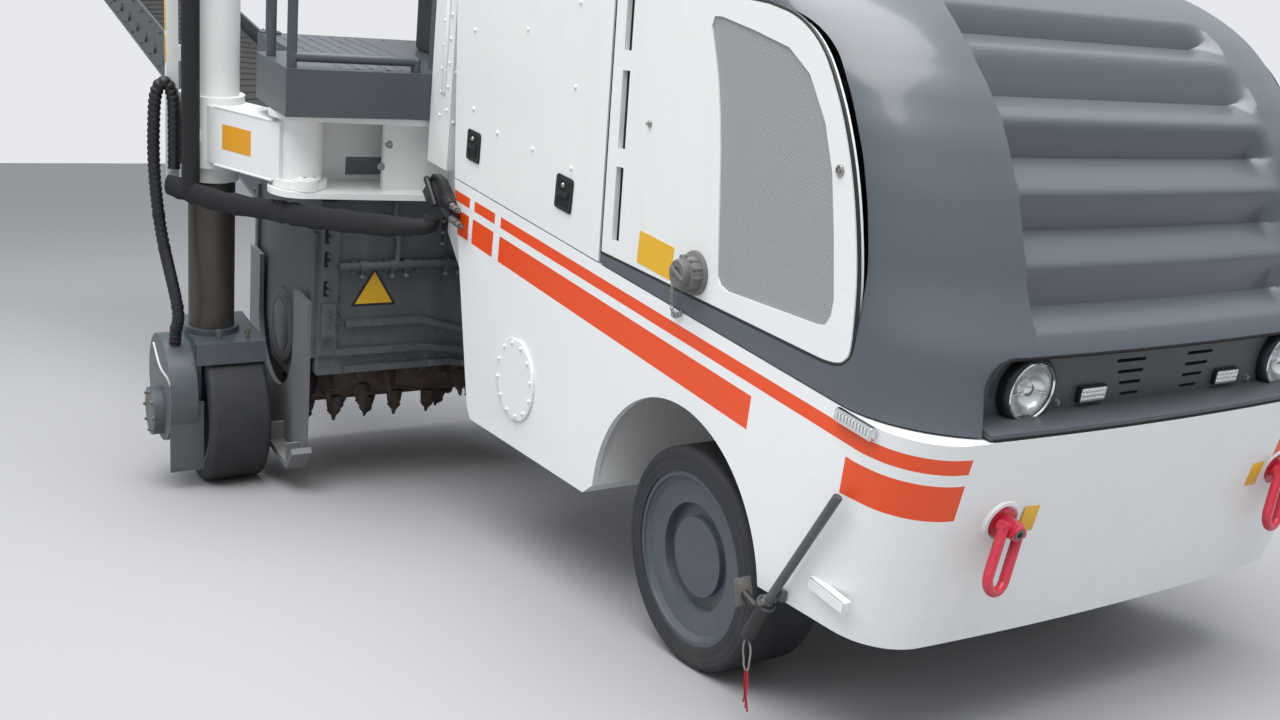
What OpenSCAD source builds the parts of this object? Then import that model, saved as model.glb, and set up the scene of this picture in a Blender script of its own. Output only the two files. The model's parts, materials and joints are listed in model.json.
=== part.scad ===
// Wheeled cold planer (road milling machine), parked with its rear legs raised.
// Every piece is drawn on the level chassis: +X forwards, +Y to the left, +Z up,
// with zero on the floor below the front axle. lean() then pitches the whole
// machine nose down about the front axle, as the extended rear legs hold it.

/* [Stance] */
// Nose-down pitch of the chassis in degrees
nose_down = 11.2; // [9:0.1:12]
// Distance from the front axle to the rear leg columns, along the chassis
wheel_base = 2742; // [2700:1:2780]
// Stroke left for each rear leg to retract
leg_retract = 480; // [300:10:500]

/* [Wheels] */
// Outer diameter of the solid rubber tyres
tyre_d = 660; // [620:1:680]
// Width of the tyres
tyre_w = 250; // [220:1:260]
// Diameter of the steel rims
rim_d = 516; // [480:1:540]
// Rounding of the tyre shoulders
tyre_round = 22; // [10:1:30]
// Diameter of the axle stubs
stub_d = 90; // [70:1:110]
// Distance from the middle of the machine to each front wheel
front_wheel_y = 704; // [695:1:715]
// Distance from the middle of the machine to each front kingpin
kingpin_y = 540; // [530:1:545]
// Diameter of the kingpins
kingpin_d = 50; // [40:1:60]
// Width of the front axle beam, fore and aft
axle_w = 130; // [100:1:150]

/* [Lower frame] */
// Half of the width over the side skins
body_half = 865; // [860:1:880]
// Height of the top of the white lower frame
deck_z = 1040; // [1030:1:1050]
// Front face of the nose at deck height
nose_x = 833; // [820:1:850]
// How far the nose slopes back down to its lower edge
nose_rake = 63; // [40:1:80]
// Height of the lower edge of the nose
nose_low_z = 470; // [450:1:490]
// Corner radius of the nose seen from above
nose_round = 160; // [120:1:180]
// Thickness of the side skins
skin_t = 20; // [12:1:25]
// Radius of the front wheel arches
arch_r = 453; // [430:1:460]
// Rear end of the side skins at deck height
skin_rear_x = -1770; // [-1790:1:-1750]
// Rear end of the side skins at their lower edge
skin_rear_low_x = -1497; // [-1510:1:-1480]
// Height of the lower rear corner of the skins
skin_low_z = 167; // [160:1:200]
// Half of the width of the frame core between the front wheels
core_half = 370; // [340:1:375]
// Rear end of the inner frame
core_rear_x = -2240; // [-2250:1:-2235]
// Half of the width of the inner rear frame
gusset_half = 700; // [690:1:705]

/* [Hood] */
// Rear end of the hood at deck height
hood_rear_x = -620; // [-630:1:-610]
// Wall of the hood and the rear cover
hood_wall = 25; // [18:1:30]
// Top of the hood
hood_top_z = 2065; // [2050:1:2080]
// Gap all round the hood and the doors
gap = 6; // [5:1:8]
// Thickness of the doors and flaps
door_t = 22; // [18:1:25]
// Opening angle of the hood
hood_open = 50; // [30:1:60]

/* [Rear module] */
// Top of the bulkhead behind the hood
bulkhead_top_z = 1980; // [1900:1:2000]
// Underside of the operator's floor
floor_z = 1200; // [1195:1:1210]
// Thickness of the operator's floor box
floor_t = 180; // [160:1:190]
// Rear end of the rear frame
module_rear_x = -3200; // [-3220:1:-3180]

/* [Rear legs] */
// Diameter of the inner leg tubes
leg_d = 190; // [170:1:200]
// Outer diameter of the leg sleeves
sleeve_d = 216; // [210:1:230]
// Distance from the middle to the right leg column
leg_right_y = 1540; // [1530:1:1550]
// Distance from the middle to the right rear wheel
wheel_right_y = 1482; // [1475:1:1485]
// Distance from the middle to the left rear wheel
wheel_left_y = 820; // [810:1:830]
// Top of the leg sleeves
sleeve_top_z = 1760; // [1740:1:1765]
// Reach of the wheel motors beyond the tyres
motor_reach = 193; // [150:1:200]
// Lower end of the leg sleeves
sleeve_low_z = 820; // [800:1:840]

/* [Swing arm] */
// Pivot of the swing arm, along the machine
swing_x = -2300; // [-2310:1:-2290]
// Pivot of the swing arm, across the machine
swing_y = -1300; // [-1310:1:-1295]
// Diameter of the swing pin
swing_pin_d = 70; // [60:1:80]
// Thickness of the two bracket plates
bracket_t = 25; // [20:1:28]

/* [Milling drum] */
// Diameter over the tips of the picks
drum_d = 920; // [900:1:922]
// Milling width
drum_w = 1000; // [980:1:1004]
// Drum axis, along the machine
drum_x = -2742; // [-2744:1:-2740]
// Drum axis height
drum_z = 150; // [145:1:155]
// Middle of the drum, to the right of the machine's middle
drum_y = 700; // [698:1:702]
// Diameter of the drum shaft
drum_shaft_d = 120; // [100:1:140]
// Picks along one helix
pick_count = 36; // [20:1:40]

/* [Lifting rings] */
// Thickness of the ring's bar
bail_d = 26; // [20:1:28]
// Half of the distance between the ring's two arms
bail_r = 34; // [30:1:36]
// Length of the ring's arms
bail_l = 120; // [90:1:130]
// How far the rings are turned from plumb on the nose, in degrees
ring_turn = 25; // [0:1:40]

/* [Conveyor] */
// Length of the conveyor from its lift pin to its head
conveyor_l = 5000; // [4000:50:5500]
// Width over the conveyor frame
conveyor_w = 670; // [600:5:670]
// Rise of the conveyor above the chassis line in degrees
conveyor_rise = 6; // [4:0.5:9]
// Slew axis of the conveyor, along the machine
slew_x = -3640; // [-3660:1:-3630]
// Height of the conveyor's lift pins
lift_z = 550; // [540:1:560]

/* [Hidden] */
white = [0.90, 0.91, 0.90];
grey = [0.22, 0.25, 0.28];
tyre_r = tyre_d / 2;
rear_drop = wheel_base * tan(nose_down);
rear_wheel_z = tyre_r - rear_drop;
pin_play = 0.08;
seat = 0.3;
clear = 5;
fine = 96;

// The whole machine sits so that its box is centred on the origin
pivot_to_tail = conveyor_l + 170;
ring_y = 538;
ring_z = 820;
nose_tilt = atan(nose_rake / (deck_z - nose_low_z));
ring_face_x = nose_x - (deck_z - ring_z) * nose_rake / (deck_z - nose_low_z);
boss_h = 30;
bail_x = boss_h + bail_d / 2 + 14;
bolt_tip = bail_x + 26;
bolt_d = 38;
bolt_lean = nose_down + nose_tilt;
front_reach = (ring_face_x + bolt_tip * cos(nose_tilt)) * cos(nose_down)
  + (ring_z - bolt_tip * sin(nose_tilt) - tyre_r) * sin(nose_down) + bolt_d / 2 * sin(bolt_lean);
tail_x = slew_x - pivot_to_tail * cos(conveyor_rise);
tail_z = lift_z + pivot_to_tail * sin(conveyor_rise);
rear_reach = tail_x * cos(nose_down) + (tail_z - tyre_r) * sin(nose_down);
right_reach = -wheel_right_y - tyre_w / 2 - motor_reach;
left_reach = wheel_left_y + tyre_w / 2 + motor_reach;
mid_x = (front_reach + rear_reach) / 2;
mid_y = (right_reach + left_reach) / 2;

module lean() {
  translate([-mid_x, -mid_y, tyre_r])
    rotate([0, nose_down, 0])
      translate([0, 0, -tyre_r])
        children();
}

// A solid with a side outline (x, z), from y0 to y1
module side_cut(y0, y1) {
  translate([0, y1, 0])
    rotate([90, 0, 0])
      linear_extrude(y1 - y0)
        children();
}

// A solid with a front outline (y, z), from x0 to x1
module front_cut(x0, x1) {
  translate([x0, 0, 0])
    rotate([90, 0, 90])
      linear_extrude(x1 - x0)
        children();
}

module box(x0, x1, y0, y1, z0, z1) {
  translate([x0, y0, z0])
    cube([x1 - x0, y1 - y0, z1 - z0]);
}

// Cylinders along each axis, centred on the given point and from a to b
module rod_z(x, y, a, b, d) {
  translate([x, y, a])
    cylinder(h = b - a, d = d, $fn = fine);
}
module rod_y(x, z, a, b, d) {
  translate([x, a, z])
    rotate([-90, 0, 0])
      cylinder(h = b - a, d = d, $fn = fine);
}
module rod_x(y, z, a, b, d) {
  translate([a, y, z])
    rotate([0, 90, 0])
      cylinder(h = b - a, d = d, $fn = fine);
}
module mirror_y(flip) {
  if (flip)
    mirror([0, 1, 0])
      children();
  else
    children();
}

// A straight round tube or bar between two points
module bar(a, b, d) {
  v = b - a;
  l = norm(v);
  translate(a)
    rotate([0, acos(v[2] / l), atan2(v[1], v[0])])
      cylinder(h = l, d = d, $fn = 32);
}
module bar_path(points, d) {
  for (i = [0 : len(points) - 2])
    bar(points[i], points[i + 1], d);
  for (i = [1 : len(points) - 2])
    translate(points[i])
      sphere(d = d + 1, $fn = 32);
}

// Lower frame: a full-width rear part, a narrow core between the front wheels,
// side skins with the arches and a solid nose
arch_x = -60;
arch_z = 330;
arch_rear_x = -515;
arch_front_x = 420;
belly_low_x = -568;
belly_low_z = 282;
core_low_z = 480;
gusset_low_z = 760;
deck_t = 40;

module skin_outline() {
  difference() {
    polygon([
      [skin_rear_x, deck_z], [skin_rear_low_x - 12, skin_low_z + 45],
      [skin_rear_low_x + 25, skin_low_z + 3], [belly_low_x, belly_low_z],
      [arch_rear_x, arch_z], [arch_front_x, nose_low_z - 10],
      [arch_front_x + 60, nose_low_z], [arch_front_x + 60, deck_z]
    ]);
    translate([arch_x, arch_z])
      circle(r = arch_r, $fn = fine);
  }
}
module rear_outline() {
  polygon([
    [skin_rear_x, deck_z], [skin_rear_low_x - 12, skin_low_z + 45],
    [skin_rear_low_x + 25, skin_low_z + 3], [belly_low_x, belly_low_z],
    [arch_rear_x, arch_z], [arch_rear_x, deck_z]
  ]);
}
module gusset_outline() {
  polygon([
    [core_rear_x, deck_z], [core_rear_x, gusset_low_z],
    [skin_rear_low_x - 60, skin_low_z + 45], [skin_rear_low_x, skin_low_z + 45],
    [skin_rear_x + 10, deck_z]
  ]);
}
module nose_section(front, half, radius, inset, z) {
  translate([0, 0, z])
    linear_extrude(1)
      hull() {
        translate([arch_front_x, -half])
          square([1, half * 2]);
        for (s = [-1, 1])
          translate([front - radius, s * (half - inset - radius)])
            circle(r = radius, $fn = 64);
        for (s = [-1, 1])
          translate([arch_front_x + 60 + (front - radius - arch_front_x - 60) * (inset > 0 ? 0 : 1),
              s * (half - 1)])
            circle(r = 1, $fn = 16);
      }
}
module nose() {
  hull() {
    nose_section(nose_x, body_half, nose_round, 0, deck_z - 1);
    nose_section(nose_x - nose_rake, body_half, nose_round, 30, nose_low_z);
  }
}
module lower_frame() {
  color(white) {
    for (s = [-1, 1])
      side_cut(s > 0 ? body_half - skin_t : -body_half, s > 0 ? body_half : -body_half + skin_t)
        skin_outline();
    side_cut(-body_half + 1, body_half - 1)
      rear_outline();
    side_cut(-gusset_half, gusset_half)
      gusset_outline();
    box(arch_rear_x - 1, arch_front_x + 1, -core_half, core_half, core_low_z, deck_z);
    box(arch_rear_x - 1, arch_front_x + 1, -body_half + 1, body_half - 1, deck_z - deck_t, deck_z);
    nose();
    // bolted round cover and weld strip on each side
    for (s = [-1, 1]) {
      rod_y(-1114, 470, s > 0 ? body_half : -body_half - 8, s > 0 ? body_half + 8 : -body_half, 300);
    }
  }
}

// Front axle: a beam under the frame core that ends in kingpin bosses
axle_low_z = 250;
axle_top_z = 400;
boss_d = 110;
fork_gap_low = 275;
fork_gap_top = 385;
module front_axle() {
  color(grey) {
    difference() {
      union() {
        box(-axle_w / 2, axle_w / 2, -kingpin_y + 50, kingpin_y - 50, axle_low_z, axle_top_z);
        for (s = [-1, 1])
          rod_z(0, s * kingpin_y, fork_gap_low, fork_gap_top, boss_d);
      }
      for (s = [-1, 1])
        rod_z(0, s * kingpin_y, fork_gap_low - 1, fork_gap_top + 1, kingpin_d + 2 * pin_play);
      for (s = [-1, 1])
        box(-axle_w, axle_w, s > 0 ? kingpin_y - boss_d / 2 - 25 : -kingpin_y - boss_d,
            s > 0 ? kingpin_y + boss_d : -kingpin_y + boss_d / 2 + 25, axle_low_z - 1, fork_gap_low);
      for (s = [-1, 1])
        box(-axle_w, axle_w, s > 0 ? kingpin_y - boss_d / 2 - 25 : -kingpin_y - boss_d,
            s > 0 ? kingpin_y + boss_d : -kingpin_y + boss_d / 2 + 25, fork_gap_top, axle_top_z + 1);
    }
    box(-180, 180, -90, 90, axle_top_z, core_low_z);
  }
}

// Knuckle: two forks on the kingpin and the stub that carries the wheel
knuckle_back = 62;
module knuckle(flip) {
  color(grey)
    mirror_y(flip)
      translate([0, -kingpin_y, 0]) {
        rod_z(0, 0, fork_gap_low - 24, fork_gap_top + 24, kingpin_d);
        difference() {
          union() {
            box(-45, 45, -knuckle_back - 18, 30, fork_gap_top + 4, fork_gap_top + 24);
            box(-45, 45, -knuckle_back - 18, 30, fork_gap_low - 24, fork_gap_low - 4);
            box(-45, 45, -knuckle_back - 18, -knuckle_back, fork_gap_low - 24, fork_gap_top + 24);
          }
          rod_z(0, 0, fork_gap_low - 30, fork_gap_top + 30, kingpin_d - 1);
        }
        rod_y(0, tyre_r, -(front_wheel_y - kingpin_y) - hub_depth, -knuckle_back - 1, stub_d);
      }
}

// Wheel, drawn about the Y axis at the origin with its outer side to -Y
rim_r = rim_d / 2;
bead = 24;
disc_y = -70;
disc_t = 30;
hub_depth = -disc_y + 7;
module tyre() {
  color([0.06, 0.06, 0.065])
    rotate([90, 0, 0])
      rotate_extrude($fn = fine)
        difference() {
          translate([rim_r, -tyre_w / 2])
            square([tyre_r - rim_r, tyre_w]);
          for (s = [-1, 1])
            translate([tyre_r - tyre_round, s * (tyre_w / 2 - tyre_round)])
              difference() {
                translate([0, s > 0 ? 0 : -tyre_round - 1])
                  square([tyre_round + 1, tyre_round + 1]);
                circle(r = tyre_round, $fn = 48);
              }
        }
}
module rim() {
  color(grey)
    rotate([90, 0, 0])
      rotate_extrude($fn = fine)
        polygon([
          [0, -disc_y + 12], [0, -disc_y + 20], [118, -disc_y + 20], [118, -disc_y + 2], [160, -disc_y],
          [162, -disc_y + 26], [rim_r - 30, -disc_y + 34], [rim_r - 16, tyre_w / 2 - 10],
          [rim_r - 14, tyre_w / 2 - 4], [rim_r - 0.3, tyre_w / 2 - 4],
          [rim_r - 0.3, -tyre_w / 2 + 4], [rim_r - 18, -tyre_w / 2 + 4],
          [rim_r - 18, -disc_y - disc_t], [stub_d / 2 + pin_play, -disc_y - disc_t],
          [stub_d / 2 + pin_play, -disc_y + 12]
        ]);
}
module at_wheel(x, y, z, flip) {
  translate([x, y, z])
    mirror_y(flip)
      children();
}

// Rear frame: bulkhead, deck box over the drum and the swing bracket
module_low_z = 860;
bulkhead_x0 = -2100;
bulkhead_x1 = -1900;
bulkhead_half = 845;
bracket_low_z = 866;
bracket_top_z = 1195;
arm_low_z = 905;
arm_top_z = 1155;
bracket_d = 250;
module rear_frame() {
  color(white)
    difference() {
      union() {
        box(module_rear_x, core_rear_x, -gusset_half, 640, module_low_z, floor_z);
        box(core_rear_x, bulkhead_x1, -gusset_half, 640, deck_z, floor_z);
        box(bulkhead_x0, bulkhead_x1, -bulkhead_half, bulkhead_half, deck_z, bulkhead_top_z);
        for (z = [bracket_low_z, bracket_top_z - bracket_t])
          bracket_plate(z);
        box(swing_x - 130, swing_x - 105, -1180, -gusset_half + 1, bracket_low_z + 3, bracket_top_z - 3);
        box(swing_x + 70, swing_x + 100, -990, -gusset_half, bracket_low_z + 3, bracket_top_z - 3);
        // left column brackets
        for (z = [900, 1100])
          box(-wheel_base - 135, -wheel_base + 135, 639, wheel_left_y + 155, z, z + 60);
        // conveyor hanger
        box(slew_x - 110, module_rear_x + 1, -drum_y - 150, -drum_y + 150, 1110, 1160);
      }
      for (z = [bracket_low_z, bracket_top_z - bracket_t])
        rod_z(swing_x, swing_y, z - 1, z + bracket_t + 1, swing_pin_d + 2 * pin_play);
      rod_z(-wheel_base, wheel_left_y + 20, 899, 1161, sleeve_d + 2 * seat);
      rod_z(slew_x, -drum_y, 1109, 1161, 80 + 2 * pin_play);
      box(swing_x - 140, swing_x - 100, -1080, -900, 905, 985);
    }
}
module bracket_plate(z) {
  translate([0, 0, z])
    linear_extrude(bracket_t)
      union() {
        translate([swing_x, swing_y])
          circle(d = bracket_d, $fn = fine);
        polygon([
          [swing_x - bracket_d / 2, swing_y], [swing_x + bracket_d / 2, swing_y],
          [swing_x + 180, -gusset_half - 170], [swing_x + 180, -gusset_half],
          [core_rear_x - 5, -gusset_half], [core_rear_x - 5, -gusset_half + 1],
          [swing_x - 150, -gusset_half + 1], [swing_x - 150, -1180]
        ]);
      }
}

// Rear cover behind the hood: a shell with a roof, a rear wall and two side openings
cover_lean = 0.084;
cover_rear_lean = 0.129;
cover_top_z = 2035;
flap_low_z = deck_z + gap;
flap_top_z = 1900;
flap_pin_d = 12;
flap_pin_z = flap_top_z - 14;
flap_lug = 30;
flap_axis_y = body_half - door_t / 2;
post_in = 15;
function hood_seam(z) = hood_rear_x - (z - deck_z) * cover_lean;
function cover_rear(z) = skin_rear_x - (z - deck_z) * cover_rear_lean;
module cover_side(z0, z1, m0, m1) {
  polygon([
    [cover_rear(z0) + m0, z0], [hood_seam(z0) - m1, z0],
    [hood_seam(z1) - m1, z1], [cover_rear(z1) + m0, z1]
  ]);
}
module cover_round(grow) {
  r = 110 - grow;
  half = body_half - grow;
  top = cover_top_z - grow;
  hull() {
    translate([-half, deck_z - 10])
      square([half * 2, 1]);
    for (s = [-1, 1])
      translate([s * (half - r), top - r])
        circle(r = r, $fn = 64);
  }
}
module rear_cover() {
  color(white)
    difference() {
      intersection() {
        side_cut(-body_half - 1, body_half + 1)
          cover_side(deck_z, cover_top_z, 0, gap);
        front_cut(-2100, -500)
          cover_round_exact(0);
      }
      intersection() {
        side_cut(-body_half, body_half)
          cover_side(deck_z - 5, cover_top_z - hood_wall, hood_wall, -200);
        front_cut(-2100, -400)
          cover_round_exact(hood_wall);
      }
      // the flaps cover the whole side, but for the lugs of their pins
      for (s = [-1, 1])
        side_cut(s > 0 ? body_half - hood_wall - 1 : -body_half - 5,
            s > 0 ? body_half + 5 : -body_half + hood_wall + 1)
          difference() {
            cover_side(deck_z - 1, flap_top_z + gap, -20, -20);
            flap_lugs(0);
          }
      for (s = [-1, 1])
        rod_x(s * flap_axis_y, flap_pin_z, -2000, -600, flap_pin_d + 2 * pin_play);
      box(bulkhead_x0 - 50, bulkhead_x1, -bulkhead_half - 1, bulkhead_half + 1, deck_z - 1,
          bulkhead_top_z + 1);
    }
  color(white)
    for (y = [-400, 400])
      difference() {
        side_cut(y - hinge_half, y + hinge_half) {
          polygon([
            [hinge_x - 110, cover_top_z - 1], [hinge_x - 8, cover_top_z - 1], [hinge_x - 8, hinge_z - lug_r],
            [hinge_x, hinge_z - lug_r], [hinge_x, hinge_z + lug_r], [hinge_x - 110, cover_top_z + 20]
          ]);
          translate([hinge_x, hinge_z])
            circle(r = lug_r, $fn = 48);
        }
        rod_y(hinge_x, hinge_z, y - hinge_half - 1, y + hinge_half + 1, hinge_pin_d + 2 * pin_play);
      }
  color(white)
    for (s = [-1, 1])
      side_cut(s > 0 ? 800 : -body_half + hood_wall + post_in, s > 0 ? body_half - hood_wall - post_in : -800)
        polygon([
          [hood_seam(deck_z) - gap - 50, deck_z], [hood_seam(deck_z) - gap, deck_z],
          [hood_seam(cover_top_z - 30) - gap, cover_top_z - 30],
              [hood_seam(cover_top_z - 30) - gap - 50, cover_top_z - 30]
        ]);
}
module flap_lugs(grow) {
  intersection() {
    union() {
      translate([hood_seam(flap_pin_z) - gap - flap_lug - grow, flap_pin_z - flap_lug / 2 - grow])
        square([flap_lug + 60, flap_lug + 60]);
      translate([cover_rear(flap_pin_z) - 60, flap_pin_z - flap_lug / 2 - grow])
        square([flap_lug + 60 + grow, flap_lug + 60]);
    }
    cover_side(deck_z - 1, flap_top_z + gap + 1, -20, -20);
  }
}
module cover_round_exact(grow) {
  r = 110 - grow;
  half = body_half - grow;
  top = cover_top_z - grow;
  difference() {
    translate([-half, deck_z - 10])
      square([half * 2, top - deck_z + 10]);
    for (s = [-1, 1])
      translate([s * (half - r), top - r])
        difference() {
          translate([s > 0 ? 0 : -r - 1, 0])
            square([r + 1, r + 1]);
          circle(r = r, $fn = 64);
        }
  }
}
module flap(flip) {
  color(white)
    mirror_y(flip)
    union() {
      side_cut(-body_half, -body_half + door_t)
        difference() {
          cover_side(flap_low_z, flap_top_z, 2, gap);
          flap_lugs(2 * gap);
        }
      for (x = [cover_rear(flap_pin_z) + flap_lug - 18, hood_seam(flap_pin_z) - gap - flap_lug - 30])
        rod_x(-flap_axis_y, flap_pin_z, x, x + 48, flap_pin_d);
    }
}

// Hood: sections at rising heights, each a rounded outline seen from above.
// Columns: height, front face, half width
hood_sections = [
  [deck_z + gap, 795, body_half], [1150, 800, body_half], [1200, 793, body_half],
  [1240, 776, body_half], [1290, 745, body_half], [1360, 708, body_half],
  [1450, 675, body_half], [1560, 630, body_half], [1680, 567, body_half],
  [1780, 492, body_half], [1860, 405, body_half], [1925, 320, body_half - 8],
  [1980, 215, body_half - 32], [2020, 110, body_half - 72], [2048, 0, body_half - 125],
  [hood_top_z, -160, body_half - 210]
];
corner_x = 260;
corner_y = 330;
corner_steps = 10;
function corner(i) = let(a = 90 * i / corner_steps) [1 - pow(cos(a), 0.9), 1 - pow(sin(a), 0.9)];
function hood_ring(s, t) = let(
    z = s[0], xf = s[1] - t, w = s[2] - t, xr = hood_seam(z) + gap,
    cx = min(corner_x, (xf - xr) * 0.6)
  ) concat(
    [[xr, -w, z]],
    [for (i = [0 : corner_steps])
      let(a = 90 * i / corner_steps)
      [xf - cx + cx * sin(a), -w + corner_y - corner_y * cos(a), z]],
    [for (i = [corner_steps : -1 : 0])
      let(a = 90 * i / corner_steps)
      [xf - cx + cx * sin(a), w - corner_y + corner_y * cos(a), z]],
    [[xr, w, z]]
  );
module loft(rings) {
  n = len(rings[0]);
  m = len(rings);
  polyhedron(
    points = [for (r = rings) for (p = r) p],
    faces = concat(
      [[for (i = [0 : n - 1]) i]],
      [for (k = [0 : m - 2]) for (i = [0 : n - 1])
        [k * n + i, (k + 1) * n + (i + 1) % n, k * n + (i + 1) % n]],
      [for (k = [0 : m - 2]) for (i = [0 : n - 1])
        [k * n + i, (k + 1) * n + i, (k + 1) * n + (i + 1) % n]],
      [[for (i = [n - 1 : -1 : 0]) (m - 1) * n + i]]
    )
  );
}
door_pin_d = 10;
door_axis_y = body_half - 16;
door_axis_x = 14;
door_low_rear_z = 1082;
door_top_z = 1905;
module door_pin(z0, z1, d) {
  bar_exact([hood_seam(z0) + gap + 2 + door_axis_x, -door_axis_y, z0],
      [hood_seam(z1) + gap + 2 + door_axis_x, -door_axis_y, z1], d);
}
module bar_exact(a, b, d) {
  v = b - a;
  l = norm(v);
  translate(a)
    rotate([0, acos(v[2] / l), atan2(v[1], v[0])])
      cylinder(h = l, d = d, $fn = 48);
}
door_low_front_z = 1125;
module door_outline(grow) {
  offset(delta = grow)
    polygon([
      [hood_seam(door_low_rear_z) + gap + 2, door_low_rear_z],
      [470, door_low_front_z], [545, 1140], [578, 1180],
      [545, 1330], [512, 1454], [468, 1570], [417, 1669], [360, 1755], [301, 1823],
      [240, 1866], [160, 1890], [60, 1902],
      [hood_seam(door_top_z) + gap + 2, door_top_z]
    ]);
}
// Recessed louvre field on the hood front
louvre_half = 500;
louvre_low_z = 1264;
louvre_top_z = 1958;
louvre_depth = 46;
louvre_skin = 8;
// Columns: height, depth of the surface there: creases are deep, crests shallow
louvre_rows = [
  [louvre_low_z, louvre_skin], [1332, louvre_depth], [1407, louvre_skin], [1492, louvre_depth],
      [1567, louvre_skin],
  [1652, louvre_depth], [1722, louvre_skin], [1790, louvre_depth], [1864, louvre_skin], [1925, louvre_depth],
  [louvre_top_z, louvre_skin]
];
function front_at(z) = lookup(z, [for (s = hood_sections) [s[0], s[1]]]);
module louvre_cut() {
  side_cut(-louvre_half, louvre_half)
    polygon(concat(
      [for (r = louvre_rows) [front_at(r[0]) - r[1], r[0]]],
      [[900, louvre_top_z + 40], [900, louvre_low_z]]
    ));
}
hinge_x = -705;
hinge_z = 2090;
hinge_pin_d = 20;
hinge_half = 30;
lug_r = 18;
module hood() {
  color(grey) {
    for (y = [-400, 400]) {
      rod_y(hinge_x, hinge_z, y - hinge_half - 20, y + hinge_half + 20, hinge_pin_d);
      for (s = [-1, 1])
        side_box(hinge_x - 14, hinge_x + 60, y + s * (hinge_half + 2), y + s * (hinge_half + 18),
            hood_top_z - 20, hinge_z + 14);
    }
    difference() {
      loft([for (s = hood_sections) hood_ring(s, 0)]);
      difference() {
        loft([for (s = hood_sections) hood_ring([s[0] - (s[0] > deck_z + gap + 1 ? hood_wall : 20), s[1],
            s[2]], hood_wall)]);
        side_cut(-louvre_half - 30, louvre_half + 30)
          polygon(concat(
            [for (z = [louvre_low_z - 60 : 80 : louvre_top_z + 60]) [front_at(z) - louvre_depth - 25, z]],
            [[900, louvre_top_z + 60], [900, louvre_low_z - 60]]
          ));
        box(680, 900, -690, 690, deck_z, 1250);
      }
      for (s = [-1, 1])
        side_cut(s > 0 ? body_half - 60 : -body_half - 10, s > 0 ? body_half + 10 : -body_half + 60)
          door_outline(gap);
      louvre_cut();
      for (s = [false, true])
        mirror_y(s) {
          door_pin(door_low_rear_z - 26, door_low_rear_z + 5, door_pin_d + 2 * pin_play);
          door_pin(door_top_z - 5, door_top_z + 26, door_pin_d + 2 * pin_play);
        }
      // lamp recess
      front_cut(lamp_x, 900)
        lamp_outline(0);
    }
  }
}

// Lamp panel in its recess, with round holes for the headlamps
lamp_x = 742;
lamp_panel_t = 14;
lamp_half = 648;
lamp_low_z = 1062;
lamp_top_z = 1222;
headlamp_y = 499;
headlamp_z = 1104;
headlamp_d = 150;
work_lamp_y = 261;
work_lamp_z = 1081;
module lamp_outline(grow) {
  hull()
    for (s = [-1, 1])
      translate([s * (lamp_half - 67), (lamp_low_z + lamp_top_z) / 2])
        circle(d = lamp_top_z - lamp_low_z - 2 * grow, $fn = 64);
}
module lamp_panel() {
  color([0.13, 0.14, 0.15])
    difference() {
      front_cut(lamp_x, lamp_x + lamp_panel_t)
        lamp_outline(2);
      for (s = [-1, 1])
        rod_x(s * headlamp_y, (lamp_low_z + lamp_top_z) / 2, lamp_x - 1, lamp_x + lamp_panel_t + 1,
            headlamp_d - 6);
      for (s = [-1, 1])
        for (i = [0 : 3])
          box(lamp_x + lamp_panel_t - 6, lamp_x + lamp_panel_t + 1, s > 0 ? 95 : -185, s > 0 ? 185 : -95,
              1088 + i * 22, 1098 + i * 22);
    }
}
module headlamps() {
  color([0.85, 0.87, 0.88])
    for (s = [-1, 1]) {
      rod_x(s * headlamp_y, (lamp_low_z + lamp_top_z) / 2, lamp_x + lamp_panel_t,
          lamp_x + lamp_panel_t + 22, headlamp_d);
      rod_x(s * headlamp_y, (lamp_low_z + lamp_top_z) / 2, lamp_x + 0.5, lamp_x + lamp_panel_t + 1,
          headlamp_d - 8);
    }
}
module work_lamps() {
  color([0.8, 0.82, 0.84]) {
    for (s = [-1, 1])
      box(lamp_x + lamp_panel_t, lamp_x + lamp_panel_t + 10, s * work_lamp_y - 45, s * work_lamp_y + 45,
          work_lamp_z - 15, work_lamp_z + 15);
  }
}

// Service doors in the hood, hinged on their rear edge, with a fuel cap and grille
cap_x = -108;
cap_z = 1169;
grille_outline = [
  [-169, 1817], [-112, 1698], [-58, 1524], [4, 1223], [7, 1184], [38, 1173], [87, 1172],
  [470, 1205], [473, 1290], [395, 1565], [342, 1664], [259, 1765], [167, 1810], [-161, 1842]
];
module door(flip) {
  color(white)
    mirror_y(flip) {
      door_pin(door_low_rear_z - 24, door_low_rear_z + 20, door_pin_d);
      door_pin(door_top_z - 20, door_top_z + 24, door_pin_d);
      difference() {
        side_cut(-body_half, -body_half + door_t)
          door_outline(0);
        side_cut(-body_half - 1, -body_half + 8)
          polygon(grille_outline);
        for (z = [1110, 1400, 1690])
          side_cut(-body_half - 1, -body_half + 8)
            polygon([
              [hood_seam(z) + 66, z], [hood_seam(z) + 100, z],
              [hood_seam(z + 190) + 100, z + 190], [hood_seam(z + 190) + 66, z + 190]
            ]);
      }
    }
}
module door_grille(flip) {
  color([0.62, 0.63, 0.64])
    mirror_y(flip)
      side_cut(-body_half + 4, -body_half + 8)
        polygon(grille_outline);
}
module fuel_cap() {
  color([0.35, 0.34, 0.33]) {
    rod_y(cap_x, cap_z, -body_half - 22, -body_half, 92);
    rod_y(cap_x, cap_z, -body_half - 34, -body_half - 21, 70);
    side_cut(-body_half - 44, -body_half - 33)
      translate([cap_x, cap_z])
        square([60, 14], center = true);
  }
}

// Engine: one plain block under the hood, with the radiator ahead of it
module engine_block() {
  color([0.35, 0.36, 0.37]) {
    box(-560, 250, -330, 330, deck_z, 1640);
    box(250, 330, -420, 420, deck_z, 1560);
  }
}

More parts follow.
